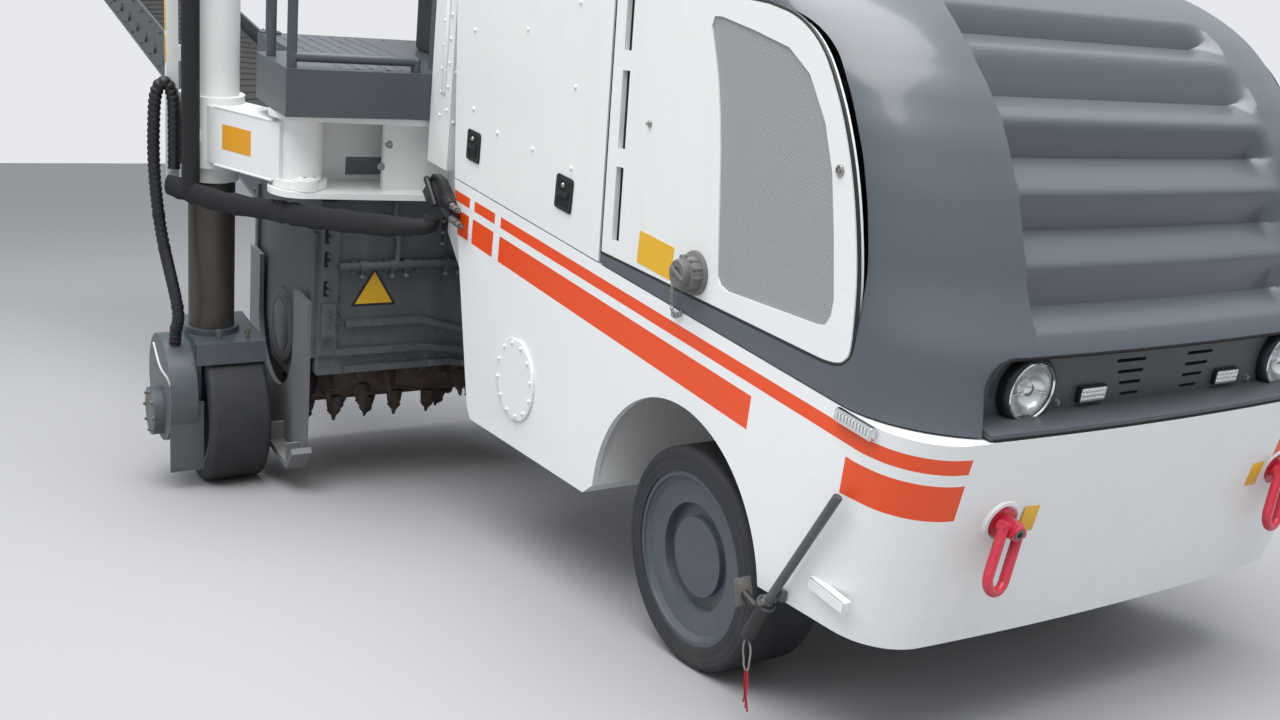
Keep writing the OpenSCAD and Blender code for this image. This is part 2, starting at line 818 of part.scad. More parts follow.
// Drum housing: front, top and end walls around the drum
housing_front_x = -2240;
housing_wall = 25;
housing_rear_x = -3215;
housing_right_y = -1225;
housing_left_y = -165;
housing_low_z = 90;
housing_rib = 22;
rib_t = 26;
cap_d = 340;
cap_t = 10;
// Pressed ribs of the front wall. Columns: right end, bend, left end, height, drop after the bend
wall_ribs = [
  [-1115, -780, -560, 330, 66],
  [-1155, -760, -480, 205, 45],
  [-1116, -640, -420, 126, 40]
];
module end_wall(y0) {
  side_cut(y0, y0 + 20)
    polygon([
      [housing_rear_x, housing_low_z], [drum_x - 260, housing_low_z], [drum_x - 180, -60],
          [drum_x + 180, -60],
      [drum_x + 260, housing_low_z], [housing_front_x, housing_low_z], [housing_front_x, module_low_z],
      [housing_rear_x, module_low_z]
    ]);
}
module drum_housing() {
  color(grey)
    difference() {
      union() {
        box(housing_front_x - housing_wall, housing_front_x, housing_right_y, housing_left_y,
            housing_low_z, module_low_z);
        box(housing_rear_x, housing_front_x, housing_right_y, housing_left_y, module_low_z - housing_wall,
            module_low_z);
        end_wall(housing_right_y);
        end_wall(housing_left_y - 20);
        box(housing_rear_x, housing_rear_x + housing_wall, housing_right_y, housing_left_y, 640,
            module_low_z);
        // pressed ribs on the front wall
        for (r = wall_ribs)
          front_cut(housing_front_x - 1, housing_front_x + housing_rib)
            polygon([
              [r[0], r[3]], [r[1], r[3]], [r[2], r[3] - r[4]],
              [r[2], r[3] - r[4] - rib_t], [r[1], r[3] - rib_t], [r[0], r[3] - rib_t]
            ]);
        // bolted corner strip with its guide block, and the pipe over the ribs
        box(housing_front_x - 1, housing_front_x + 14, housing_right_y, housing_right_y + 75, 180,
            module_low_z - 20);
        box(housing_front_x + 13, housing_front_x + 44, housing_right_y + 8, housing_right_y + 58, 270, 410);
        rod_y(housing_front_x + 26, 570, housing_right_y + 70, -520, 34);
        for (y = [-1100, -960, -820, -680, -540])
          box(housing_front_x - 1, housing_front_x + 30, y, y + 16, 540, 592);
        // bearing cap on the right end, and the guides of the side plates
        rod_y(drum_x, drum_z, housing_right_y - cap_t, housing_right_y + 1, cap_d);
        for (x = [housing_front_x - 45, housing_rear_x + 60])
          box(x - 20, x + 20, housing_right_y - guide_t + seat, housing_right_y + 1, 160, 700);
        for (x = [housing_front_x - 45, housing_rear_x + 60])
          box(x - 20, x + 20, housing_left_y - 1, housing_left_y + guide_t - seat, 160, 700);
      }
      rod_y(drum_x, drum_z, housing_right_y - cap_t - 1, housing_left_y + 1, drum_shaft_d + 2 * pin_play);
    }
}

// Drum with pick holders on two opposed helices
pick_tilt = 38;
pick_base = 78;
pick_base_d = 54;
pick_tip = 46;
pick_tip_d = 12;
pick_sink = 6;
pick_turn = 47;
pick_inset = 40;
drum_half = drum_w / 2;
pick_l = pick_base + pick_tip;
drum_core_r = sqrt(pow(drum_d / 2, 2) - pow(pick_l * sin(pick_tilt), 2)) - pick_l * cos(pick_tilt)
  + pick_sink - pick_tip_d / 2;
module pick(y, a) {
  translate([drum_x, y, drum_z])
    rotate([0, a, 0])
      translate([0, 0, drum_core_r - pick_sink])
        rotate([0, pick_tilt, 0]) {
          cylinder(h = pick_base, d = pick_base_d, $fn = 24);
          translate([0, 0, pick_base - 1])
            cylinder(h = pick_tip + 1, d1 = 34, d2 = pick_tip_d, $fn = 24);
        }
}
module drum() {
  color([0.16, 0.13, 0.12])
    union() {
      rod_y(drum_x, drum_z, -drum_y - drum_half + pick_inset, -drum_y + drum_half - pick_inset,
          2 * drum_core_r);
      rod_y(drum_x, drum_z, housing_right_y + 1, housing_left_y - 1, drum_shaft_d);
      for (i = [0 : pick_count - 1])
        for (s = [-1, 1])
          pick(-drum_y + s * (30 + (drum_half - 30 - pick_inset) * i / (pick_count - 1)),
              i * pick_turn + (s > 0 ? 180 : 0));
    }
}

// Side plates with their shoes, each sliding on the guides of a housing end
guide_t = 16;
plate_t = 20;
plate_x0 = housing_rear_x + 40;
plate_x1 = housing_front_x - 40;
shoe_in = 1;
shoe_out = 64;
shoe_t = 24;
plate_low_z = -330;
plate_top_z = 400;
cut_r = 270;
// The plate leaves a round-bottomed gap around the bearing cap, open at its top
module side_plate(y0, out) {
  color(grey) {
    side_cut(y0, y0 + plate_t)
      difference() {
        polygon([
          [plate_x0, -250], [plate_x0 + 80, plate_low_z], [plate_x1 - 60, plate_low_z], [plate_x1, -270],
          [plate_x1, plate_top_z], [plate_x0, plate_top_z]
        ]);
        translate([drum_x, drum_z])
          circle(r = cut_r, $fn = fine);
        translate([drum_x - cut_r, drum_z])
          square([2 * cut_r, plate_top_z]);
      }
    // skid shoe with its nose bent up
    side_cut(out < 0 ? y0 - shoe_out : y0 - shoe_in,
        out < 0 ? y0 + plate_t + shoe_in : y0 + plate_t + shoe_out)
      polygon([
        [plate_x0 + 60, plate_low_z - 30], [plate_x1 - 30, plate_low_z - 30],
            [plate_x1 + 60, plate_low_z + 75],
        [plate_x1 + 38, plate_low_z + 93], [plate_x1 - 42, plate_low_z - 2], [plate_x0 + 60, plate_low_z - 2]
      ]);
    for (x = [plate_x1 - 60, plate_x1 - 300, plate_x0 + 140])
      side_box(x, x + 12, y0 + plate_t / 2, y0 + plate_t / 2 + out * (shoe_out + plate_t / 2 - 6),
          plate_low_z - 4, plate_low_z + 80);
  }
}
module side_plate_right() {
  side_plate(housing_right_y - guide_t - plate_t, -1);
}
module side_plate_left() {
  side_plate(housing_left_y + guide_t, 1);
}
module scraper() {
  color(grey)
    box(housing_rear_x - seat - 20, housing_rear_x - seat, housing_right_y, housing_left_y, -330, 560);
}

// Leg sleeve, post and leg of the swung-out right wheel
module leg_sleeve(y, low, top) {
  difference() {
    rod_z(-wheel_base, y, low, top, sleeve_d);
    rod_z(-wheel_base, y, low - 1, top - 12, leg_d + 2 * seat);
  }
}
ring_d = sleeve_d + 44;
post_y = -leg_right_y - ring_d / 2 - clear;
post_t = 45;
post_x0 = -wheel_base - 25;
post_x1 = -wheel_base + 15;
post_low_z = 780;
module leg_sleeve_right() {
  color(white)
    difference() {
      union() {
        rod_z(-wheel_base, -leg_right_y, sleeve_low_z, sleeve_top_z, sleeve_d);
        rod_ring(-wheel_base, -leg_right_y, arm_top_z + seat, arm_top_z + 20, ring_d, sleeve_d - 1);
        rod_ring(-wheel_base, -leg_right_y, arm_low_z - 20, arm_low_z - seat, ring_d, sleeve_d - 1);
        box(post_x0, post_x1, post_y - post_t, post_y, post_low_z, sleeve_top_z);
        for (z = [1300, sleeve_top_z - 80])
          box(post_x0, post_x1, post_y - 1, -leg_right_y - sleeve_d / 2 + 10, z, z + 60);
      }
      rod_z(-wheel_base, -leg_right_y, sleeve_low_z - 1, sleeve_top_z - 12, leg_d + 2 * seat);
    }
}
module rod_ring(x, y, a, b, d_out, d_in) {
  difference() {
    rod_z(x, y, a, b, d_out);
    rod_z(x, y, a - 1, b + 1, d_in);
  }
}
module leg_sleeve_left() {
  color(white)
    leg_sleeve(wheel_left_y + 20, sleeve_low_z, sleeve_top_z);
}
arm_half = 100;
arm_step = 10;
arm_dx = -wheel_base - swing_x;
arm_dy = -leg_right_y - swing_y;
arm_l = sqrt(arm_dx * arm_dx + arm_dy * arm_dy);
// The hose bundle stands in front of the column, on this radius and bearing
bundle_d = 70;
bundle_r = ring_d / 2 + clear + bundle_d / 2 + 2;
bundle_turn = -42;
module at_column() {
  translate([-wheel_base, -leg_right_y, 0])
    rotate([0, 0, bundle_turn])
      children();
}
module swing_arm() {
  color(white)
    difference() {
      union() {
        rod_z(swing_x, swing_y, bracket_low_z, bracket_top_z, swing_pin_d);
        rod_z(swing_x, swing_y, bracket_low_z + bracket_t + 2, bracket_top_z - bracket_t - 2, 170);
        // locking disc and its plate under the barrel
        rod_z(swing_x, swing_y, bracket_low_z + bracket_t + 2, arm_low_z + 20, 214);
        rod_z(swing_x + 78, swing_y, bracket_low_z + bracket_t + 2, arm_low_z + 30, 100);
        translate([swing_x, swing_y, arm_low_z + arm_step])
          rotate([0, 0, atan2(arm_dy, arm_dx)])
            translate([14, -arm_half, 0])
              cube([arm_l - 60, 2 * arm_half, arm_top_z - arm_low_z - 2 * arm_step]);
        rod_z(-wheel_base, -leg_right_y, arm_low_z, arm_top_z, ring_d);
        at_column()
          box(ring_d / 2 - 6, bundle_r - bundle_d / 2 - seat, -22, 22, arm_low_z + 90, arm_low_z + 140);
      }
      rod_z(-wheel_base, -leg_right_y, arm_low_z - 1, arm_top_z + 1, sleeve_d + 2 * pin_play);
    }
}

// Leg with the bent guard over its wheel and the shield around its wheel motor
guard_top = tyre_r + 35;
guard_low = tyre_r - 56;
guard_half = 215;
guard_t = 12;
plate_in = 12;
plate_out = 40;
shield_r = 235;
shield_z = 110;
shield_y = 150;
skirt_low = -207;
motor_d = 210;
module leg(y, wheel_y, flip) {
  z = rear_wheel_z;
  out = flip ? 1 : -1;
  side = wheel_y + out * tyre_w / 2;
  inner = wheel_y - out * tyre_w / 2;
  color([0.18, 0.16, 0.15])
    rod_z(-wheel_base, y, z + guard_top - 1, sleeve_top_z - 30 - leg_retract, leg_d);
  color(grey) {
    rod_z(-wheel_base, y, z + guard_top - 1, z + guard_top + 24, leg_d + 40);
    side_cut(min(inner, side + out * plate_out), max(inner, side + out * plate_out))
      translate([-wheel_base, z])
        polygon([
          [-guard_half, guard_low], [-guard_half + 10, guard_top], [guard_half - 10, guard_top],
              [guard_half, guard_low],
          [guard_half - guard_t, guard_low], [guard_half - guard_t - 9, guard_top - guard_t],
          [-guard_half + guard_t + 9, guard_top - guard_t], [-guard_half + guard_t, guard_low]
        ]);
    side_cut(min(side + out * plate_in, side + out * plate_out),
        max(side + out * plate_in, side + out * plate_out))
      translate([-wheel_base, z])
        polygon([[-150, -60], [-110, -110], [110, -110], [150, -60], [175, guard_top - 1],
            [-175, guard_top - 1]]);
    rod_y(-wheel_base, z, out > 0 ? wheel_y - hub_depth : side - plate_in - 1,
        out > 0 ? side + plate_in + 1 : wheel_y + hub_depth, stub_d);
    rod_y(-wheel_base, z, out > 0 ? side + plate_in : side - motor_reach,
        out > 0 ? side + motor_reach : side - plate_in, motor_d);
    // round shield with a straight front skirt
    difference() {
      rod_y(-wheel_base, z + shield_z, out > 0 ? side + plate_out - 1 : side - shield_y,
          out > 0 ? side + shield_y : side - plate_out + 1, 2 * shield_r);
      rod_y(-wheel_base, z + shield_z, out > 0 ? side + plate_out - 2 : side - shield_y + guard_t,
          out > 0 ? side + shield_y - guard_t : side - plate_out + 2, 2 * (shield_r - guard_t));
    }
    side_box(-wheel_base + shield_r - 32, -wheel_base + shield_r - 20, side + out * plate_in,
        side + out * shield_y, z + skirt_low, z + shield_z);
  }
}
module side_box(x0, x1, ya, yb, z0, z1) {
  box(x0, x1, min(ya, yb), max(ya, yb), z0, z1);
}

// Operator's floor, seat, console, rails and ladder
platform_rear_x = -3150;
module operator_floor() {
  color(grey)
    translate([0, 0, floor_z])
      linear_extrude(floor_t)
        difference() {
          polygon([
            [bulkhead_x0, -1420], [bulkhead_x0, 800], [platform_rear_x, 800],
            [platform_rear_x, -1250], [-2600, -1250], [-2520, -1420]
          ]);
          translate([-wheel_base, wheel_left_y + 20])
            circle(d = sleeve_d + 24, $fn = fine);
        }
}
module operator_seat() {
  color([0.10, 0.10, 0.11]) {
    box(-2850, -2600, -620, -380, floor_z + floor_t, 1640);
    box(-2960, -2480, -740, -260, 1640, 1760);
    box(-3060, -2960, -740, -260, 1640, 2200);
  }
}
module console() {
  color(grey) {
    box(-2260, bulkhead_x0, -800, -200, floor_z + floor_t, 2000);
    bar([-2260, -500, 1900], [-2400, -500, 2020], 50);
    translate([-2400, -500, 2020])
      rotate([0, -50, 0])
        rotate_extrude($fn = 48)
          translate([190, 0])
            circle(d = 26, $fn = 16);
    translate([-2400, -500, 2020])
      rotate([0, -50, 0])
        for (a = [0, 120, 240])
          rotate([0, 0, a])
            translate([0, -12, -6])
              cube([188, 24, 12]);
  }
}
rail_y = 690;
module handrails() {
  color(grey) {
    bar_path([[-3130, rail_y, 1380], [-3130, rail_y, 2300], [-3130, -1200, 2300], [-3130, -1200, 1380]], 42);
    bar_path([[-3130, rail_y, 2300], [-2200, rail_y, 2300], [-2200, rail_y, 1380]], 42);
    bar([-3130, -300, 1380], [-3130, -300, 2300], 42);
    bar([-3130, rail_y, 1840], [-2200, rail_y, 1840], 42);
    bar([-3130, rail_y, 1840], [-3130, -1200, 1840], 42);
    bar_path([
      [-2140, -900, 1380], [-2140, -900, 1420], [-2140, -1390, 1420], [-2140, -1390, 2150],
      [-2420, -1390, 2150], [-2420, -1390, 1380]
    ], 38);
    bar([-2140, -1390, 1380], [-2140, -1390, 1421], 38);
  }
}
module ladder() {
  color(grey) {
    for (y = [60, 460])
      box(module_rear_x - 40, module_rear_x, y - 12, y + 12, 480, 1300);
    for (z = [500, 760, 1020, 1270])
      box(module_rear_x - 130, module_rear_x - 1, 48, 472, z, z + 28);
  }
}
module exhaust() {
  color([0.15, 0.15, 0.16])
    rod_z(-1500, 560, cover_top_z, cover_top_z + 330, 90);
}

// Hoses and small fittings
coupler_x = -1785;
coupler_low_z = 900;
coupler_y = -body_half - seat;
module hose_coupler() {
  color([0.05, 0.05, 0.05]) {
    box(coupler_x - 95, coupler_x + 95, coupler_y - 40, coupler_y, coupler_low_z, coupler_low_z + 130);
    rod_z(coupler_x - 60, coupler_y - 20, coupler_low_z - 30, coupler_low_z + 1, 36);
    rod_x(coupler_y - 20, coupler_low_z + 40, coupler_x + 94, coupler_x + 150, 26);
    rod_x(coupler_y - 20, coupler_low_z + 85, coupler_x + 94, coupler_x + 190, 26);
  }
}
// The sleeved bundle runs from the coupler under the swing bracket, then up the column
cross_d = 88;
cross_points = [
  [coupler_x - 60, coupler_y - 52, coupler_low_z - 30 - seat],
  [coupler_x - 60, coupler_y - 52, coupler_low_z - 80],
  [-2205, -1292, 788]
];
module cross_hose() {
  color([0.04, 0.04, 0.045]) {
    bar_path(cross_points, cross_d);
  }
}
bundle_low_z = 860;
bundle_arch = bundle_r / 2;
arm_hose_points = [
  [-2400, -1425, 785], [-2500, -1560, 775], [-2580, -1650, 790]
];
module leg_hoses() {
  color([0.04, 0.04, 0.045]) {
    at_column()
      rod_z(bundle_r, 0, bundle_low_z, sleeve_top_z + 1, bundle_d);
    at_column()
      translate([bundle_arch, 0, sleeve_top_z + seat])
        rotate([90, 0, 0])
          rotate_extrude(angle = 180, $fn = 64)
            translate([bundle_arch, 0])
              circle(d = bundle_d - 2, $fn = 32);
    bar_path(concat(arm_hose_points, [[
      -wheel_base + bundle_r * cos(bundle_turn), -leg_right_y + bundle_r * sin(bundle_turn), bundle_low_z + 10
    ]]), bundle_d);
  }
}
// Hose of the wheel motor: up beside the post, over and down to the motor's shield
motor_hose_d = 40;
hose_slant = 18.35;
shield_axis_z = rear_wheel_z + shield_z;
motor_hose_points = [
  [-2697, -1698, 850], [-2697, -1698, 1160], [-2702, -1760, 1212], [-2725, -1770, 1120], [-2732, -1766, 820],
  [-wheel_base + (shield_r + 160) * sin(hose_slant), -1708,
      shield_axis_z + (shield_r + 160) * cos(hose_slant)],
  [-wheel_base + (shield_r + seat) * sin(hose_slant), -1708,
      shield_axis_z + (shield_r + seat) * cos(hose_slant)]
];
module motor_hose() {
  color([0.04, 0.04, 0.045])
    bar_path(motor_hose_points, motor_hose_d);
}
module pointer_rod() {
  color(grey)
    bar([452, -890, 440], [626, -890, 835], 26);
    bar([397, -890, 313], [470, -890, 480], 44);
    box(448, 496, -888, -body_half - seat, 476, 506);
}
// Lashing eyes under the nose and behind the rear frame
eye_t = 25;
eye_hole_d = 60;
front_eye_x = 520;
front_eye_z = nose_low_z - 48;
front_eye_y = 312;
rear_eye_x = module_rear_x - 52;
rear_eye_z = 1020;
rear_eye_y = 580;
module tie_down_lugs() {
  color(grey)
    for (s = [-1, 1]) {
      y0 = s * front_eye_y - eye_t / 2;
      y1 = s * rear_eye_y - eye_t / 2;
      difference() {
        box(front_eye_x - 55, front_eye_x + 55, y0, y0 + eye_t, front_eye_z - 55, nose_low_z);
        rod_y(front_eye_x, front_eye_z, y0 - 1, y0 + eye_t + 1, eye_hole_d);
      }
      difference() {
        box(rear_eye_x - 55, module_rear_x, y1, y1 + eye_t, rear_eye_z - 55, rear_eye_z + 55);
        rod_y(rear_eye_x, rear_eye_z, y1 - 1, y1 + eye_t + 1, eye_hole_d);
      }
    }
}
module tail_lamps() {
  color([0.7, 0.1, 0.08])
    for (y = [-1150, 700])
      box(platform_rear_x - 30, platform_rear_x, y - 60, y + 60, floor_z + 40, floor_z + 120);
}

// Lifting rings on the nose: a swivel boss with its bolt, and a bail on two trunnions
ring_base_d = 96;
lug_half = bail_r - bail_d / 2 - 2;
lug_d = 48;
trunnion_in = 9;
hang = atan(tan(bolt_lean) / cos(ring_turn));
module at_ring(flip) {
  translate([ring_face_x, flip ? ring_y : -ring_y, ring_z])
    rotate([0, nose_tilt, 0])
      rotate([-ring_turn, 0, 0])
        children();
}
module lift_boss(flip) {
  color([0.75, 0.03, 0.07])
    at_ring(flip)
      difference() {
        union() {
          rod_x(0, 0, seat, boss_h - 8, ring_base_d);
          rod_x(0, 0, seat, boss_h, ring_base_d - 14);
          rod_y(bail_x, 0, -lug_half, lug_half, lug_d);
          box(boss_h - 1, bail_x, -lug_half, lug_half, -lug_d / 2, lug_d / 2);
          rod_x(0, 0, bail_x, bolt_tip, bolt_d);
        }
        for (s = [-1, 1])
          rod_y(bail_x, 0, s > 0 ? trunnion_in : -lug_half - 1, s > 0 ? lug_half + 1 : -trunnion_in,
              bail_d + 2 * pin_play);
      }
}
module lift_ring(flip) {
  color([0.75, 0.03, 0.07])
    at_ring(flip)
      translate([bail_x, 0, 0])
        rotate([0, -hang, 0]) {
          for (s = [-1, 1]) {
            rod_y(0, 0, s > 0 ? trunnion_in + seat : -bail_r - bail_d / 2,
                s > 0 ? bail_r + bail_d / 2 : -trunnion_in - seat, bail_d);
            rod_z(0, s * bail_r, -bail_l - 1, 0, bail_d);
          }
          translate([0, 0, -bail_l])
            rotate([0, 90, 0])
              rotate([0, 0, -90])
                rotate_extrude(angle = 180, $fn = 48)
                  translate([bail_r, 0])
                    circle(d = bail_d - 1, $fn = 24);
        }
}

// Conveyor: a yoke that slews under the hanger, a lifting frame and its belt
yoke_half = conveyor_w / 2 + clear + 20;
frame_front = 230;
roller_r = 80;
module conveyor_yoke() {
  color(grey) {
    rod_z(slew_x, -drum_y, 1090, 1180, 80);
    box(slew_x - 70, slew_x + 70, -drum_y - yoke_half, -drum_y + yoke_half, 1045, 1104);
    difference() {
      for (s = [-1, 1])
        side_box(slew_x - 60, slew_x + 60, -drum_y + s * (yoke_half - 20), -drum_y + s * yoke_half,
            lift_z - 60, 1046);
      rod_y(slew_x, lift_z, -drum_y - yoke_half - 1, -drum_y + yoke_half + 1, 60 + 2 * pin_play);
    }
  }
}
module at_conveyor() {
  translate([slew_x, -drum_y, lift_z])
    rotate([0, conveyor_rise, 0])
      children();
}
module conveyor_frame() {
  w = conveyor_w / 2;
  color(grey)
    at_conveyor() {
      for (s = [-1, 1])
        side_cut(s > 0 ? w - 10 : -w, s > 0 ? w : -w + 10)
          polygon([[frame_front, -150], [frame_front, 60], [130, 150], [-conveyor_l, 150],
              [-conveyor_l - 160, 60], [-conveyor_l - 160, -60], [-conveyor_l + 60, -150]]);
      side_cut(-w + 5, w - 5)
        polygon([
          [frame_front, -150], [frame_front, -142], [-conveyor_l + 60, -142], [-conveyor_l + 60, -150]
        ]);
      rod_y(-conveyor_l - 60, 0, -w + 5, w - 5, 2 * roller_r);
      rod_y(frame_front - 90, -40, -w + 5, w - 5, 2 * roller_r);
      for (s = [-1, 1])
        rod_y(0, 0, s > 0 ? w - 5 : -w - clear - 20, s > 0 ? w + clear + 20 : -w + 5, 60);
    }
}
module conveyor_belt() {
  w = conveyor_w / 2 - 40;
  color([0.05, 0.05, 0.05])
    at_conveyor()
      side_cut(-w, w)
        polygon([
          [frame_front - 90, roller_r - 40 + seat], [-conveyor_l - 60, roller_r + seat],
          [-conveyor_l - 60, roller_r + 12], [frame_front - 90, roller_r - 28]
        ]);
}

lean() lower_frame();
lean() front_axle();
lean() rear_frame();
lean() rear_cover();
lean() engine_block();
lean() drum_housing();
lean() operator_floor();
lean() operator_seat();
lean() console();
lean() handrails();
lean() ladder();
lean() exhaust();
lean() leg_sleeve_left();
lean() hose_coupler();
lean() cross_hose();
lean() pointer_rod();
lean() tail_lamps();
lean() tie_down_lugs();
lean() hood();
lean() lamp_panel();
lean() headlamps();
lean() work_lamps();
lean() door(false);  // door_right
lean() door(true);  // door_left
lean() door_grille(false);  // door_grille_right
lean() door_grille(true);  // door_grille_left
lean() fuel_cap();
lean() flap(false);  // flap_right
lean() flap(true);  // flap_left
lean() lift_boss(false);  // lift_boss_right
lean() lift_boss(true);  // lift_boss_left
lean() lift_ring(false);  // lift_ring_right
lean() lift_ring(true);  // lift_ring_left
lean() knuckle(false);  // knuckle_right
lean() knuckle(true);  // knuckle_left
lean() at_wheel(0, -front_wheel_y, tyre_r, false) tyre();  // tyre_front_right
lean() at_wheel(0, front_wheel_y, tyre_r, true) tyre();  // tyre_front_left
lean() at_wheel(0, -front_wheel_y, tyre_r, false) rim();  // rim_front_right
lean() at_wheel(0, front_wheel_y, tyre_r, true) rim();  // rim_front_left
lean() swing_arm();
lean() leg_sleeve_right();
lean() leg_hoses();
lean() motor_hose();
lean() leg(-leg_right_y, -wheel_right_y, false);  // leg_right
lean() leg(wheel_left_y + 20, wheel_left_y, true);  // leg_left
lean() at_wheel(-wheel_base, -wheel_right_y, rear_wheel_z,  // tyre_rear_right
    true) tyre();
lean() at_wheel(-wheel_base, wheel_left_y, rear_wheel_z,  // tyre_rear_left
    false) tyre();
lean() at_wheel(-wheel_base, -wheel_right_y, rear_wheel_z,  // rim_rear_right
    true) rim();
lean() at_wheel(-wheel_base, wheel_left_y, rear_wheel_z,  // rim_rear_left
    false) rim();
lean() drum();
lean() side_plate_right();
lean() side_plate_left();
lean() scraper();
lean() conveyor_yoke();
lean() conveyor_frame();
lean() conveyor_belt();
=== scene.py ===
"""Looks of the wheeled cold planer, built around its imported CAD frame."""
import json
import math
import random

import bmesh
import bpy
from mathutils import Euler, Matrix, Vector


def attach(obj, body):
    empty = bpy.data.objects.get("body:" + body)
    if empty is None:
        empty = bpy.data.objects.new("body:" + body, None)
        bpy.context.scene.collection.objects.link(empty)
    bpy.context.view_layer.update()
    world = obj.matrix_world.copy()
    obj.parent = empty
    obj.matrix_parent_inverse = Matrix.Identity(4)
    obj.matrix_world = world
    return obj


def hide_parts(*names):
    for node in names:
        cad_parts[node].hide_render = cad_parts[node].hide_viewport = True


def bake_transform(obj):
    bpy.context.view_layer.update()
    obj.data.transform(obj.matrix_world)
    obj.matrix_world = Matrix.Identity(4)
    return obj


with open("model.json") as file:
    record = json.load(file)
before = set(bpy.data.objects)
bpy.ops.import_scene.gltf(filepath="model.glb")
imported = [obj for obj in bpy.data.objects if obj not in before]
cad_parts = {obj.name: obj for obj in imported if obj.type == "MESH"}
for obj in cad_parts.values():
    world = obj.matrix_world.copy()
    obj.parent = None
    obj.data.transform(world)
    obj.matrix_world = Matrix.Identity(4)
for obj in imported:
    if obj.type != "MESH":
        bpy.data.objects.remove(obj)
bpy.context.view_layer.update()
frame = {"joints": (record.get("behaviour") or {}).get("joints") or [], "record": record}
joints = {j["name"]: j for j in frame["joints"]}
SCENE = bpy.context.scene
random.seed(7)

# The chassis frame: zero a tyre's radius below the front axle, pitched nose down about the axle.
# Shapes are in its millimetres, and materials measure it in metres.
NOSE_DOWN = math.radians(11.2)
TYRE_R = 330
axle_right = Vector(joints["wheel_front_right_spin"]["pos_m"])
axle_left = Vector(joints["wheel_front_left_spin"]["pos_m"])
AXLE = (axle_right + axle_left) / 2
CHASSIS = (
    Matrix.Translation(AXLE)
    @ Matrix.Rotation(NOSE_DOWN, 4, "Y")
    @ Matrix.Translation((0, 0, -TYRE_R / 1000))
)
CHASSIS_MM = CHASSIS @ Matrix.Scale(0.001, 4)

SIDE = 865
WHEEL_BASE = 2742
REAR_WHEEL_Z = TYRE_R - WHEEL_BASE * math.tan(NOSE_DOWN)
COLUMN_Y = -1540
SIDES = (("right", -1), ("left", 1))
AHEAD, BACK, UP = (1, 0, 0), (-1, 0, 0), (0, 0, 1)


class Graph:
    """Short ways to add and join shader nodes."""

    def __init__(self, tree):
        self.tree = tree

    def node(self, kind, **values):
        n = self.tree.nodes.new(kind)
        for key, value in values.items():
            setattr(n, key, value)
        return n

    def put(self, socket, value):
        if isinstance(value, bpy.types.NodeSocket):
            self.tree.links.new(value, socket)
        else:
            socket.default_value = value

    def math(self, op, a, b=0.0, clamp=False):
        n = self.node("ShaderNodeMath", operation=op, use_clamp=clamp)
        self.put(n.inputs[0], a)
        self.put(n.inputs[1], b)
        return n.outputs[0]

    def between(self, v, low, high):
        return self.math("MULTIPLY", self.math("GREATER_THAN", v, low), self.math("LESS_THAN", v, high))

    def mix(self, fac, a, b):
        n = self.node("ShaderNodeMix", data_type="RGBA")
        self.put(n.inputs["Factor"], fac)
        self.put(n.inputs["A"], a)
        self.put(n.inputs["B"], b)
        return n.outputs["Result"]

    def spread(self, v, low, high, out_low=0.0, out_high=1.0):
        n = self.node("ShaderNodeMapRange", clamp=True)
        for i, value in enumerate((v, low, high, out_low, out_high)):
            self.put(n.inputs[i], value)
        return n.outputs[0]

    def noise(self, scale, detail=4.0, rough=0.55, vector=None):
        n = self.node("ShaderNodeTexNoise")
        n.inputs["Scale"].default_value = scale
        n.inputs["Detail"].default_value = detail
        n.inputs["Roughness"].default_value = rough
        if vector is not None:
            self.put(n.inputs["Vector"], vector)
        return n.outputs["Fac"]

    def place(self, scale=(1, 1, 1)):
        coords = self.node("ShaderNodeTexCoord")
        mapping = self.node("ShaderNodeMapping")
        mapping.inputs["Scale"].default_value = scale
        self.put(mapping.inputs["Vector"], coords.outputs["Object"])
        return mapping.outputs[0]

    def chassis(self):
        """x, y and z in the chassis frame, in metres."""
        coords = self.node("ShaderNodeTexCoord")
        mapping = self.node("ShaderNodeMapping")
        back = Matrix.Rotation(-NOSE_DOWN, 3, "Y")
        shift = Vector((0, 0, TYRE_R / 1000)) - back @ AXLE
        mapping.inputs["Rotation"].default_value = (0, -NOSE_DOWN, 0)
        mapping.inputs["Location"].default_value = shift
        self.put(mapping.inputs["Vector"], coords.outputs["Object"])
        parts = self.node("ShaderNodeSeparateXYZ")
        self.put(parts.inputs[0], mapping.outputs[0])
        return parts.outputs[0], parts.outputs[1], parts.outputs[2]


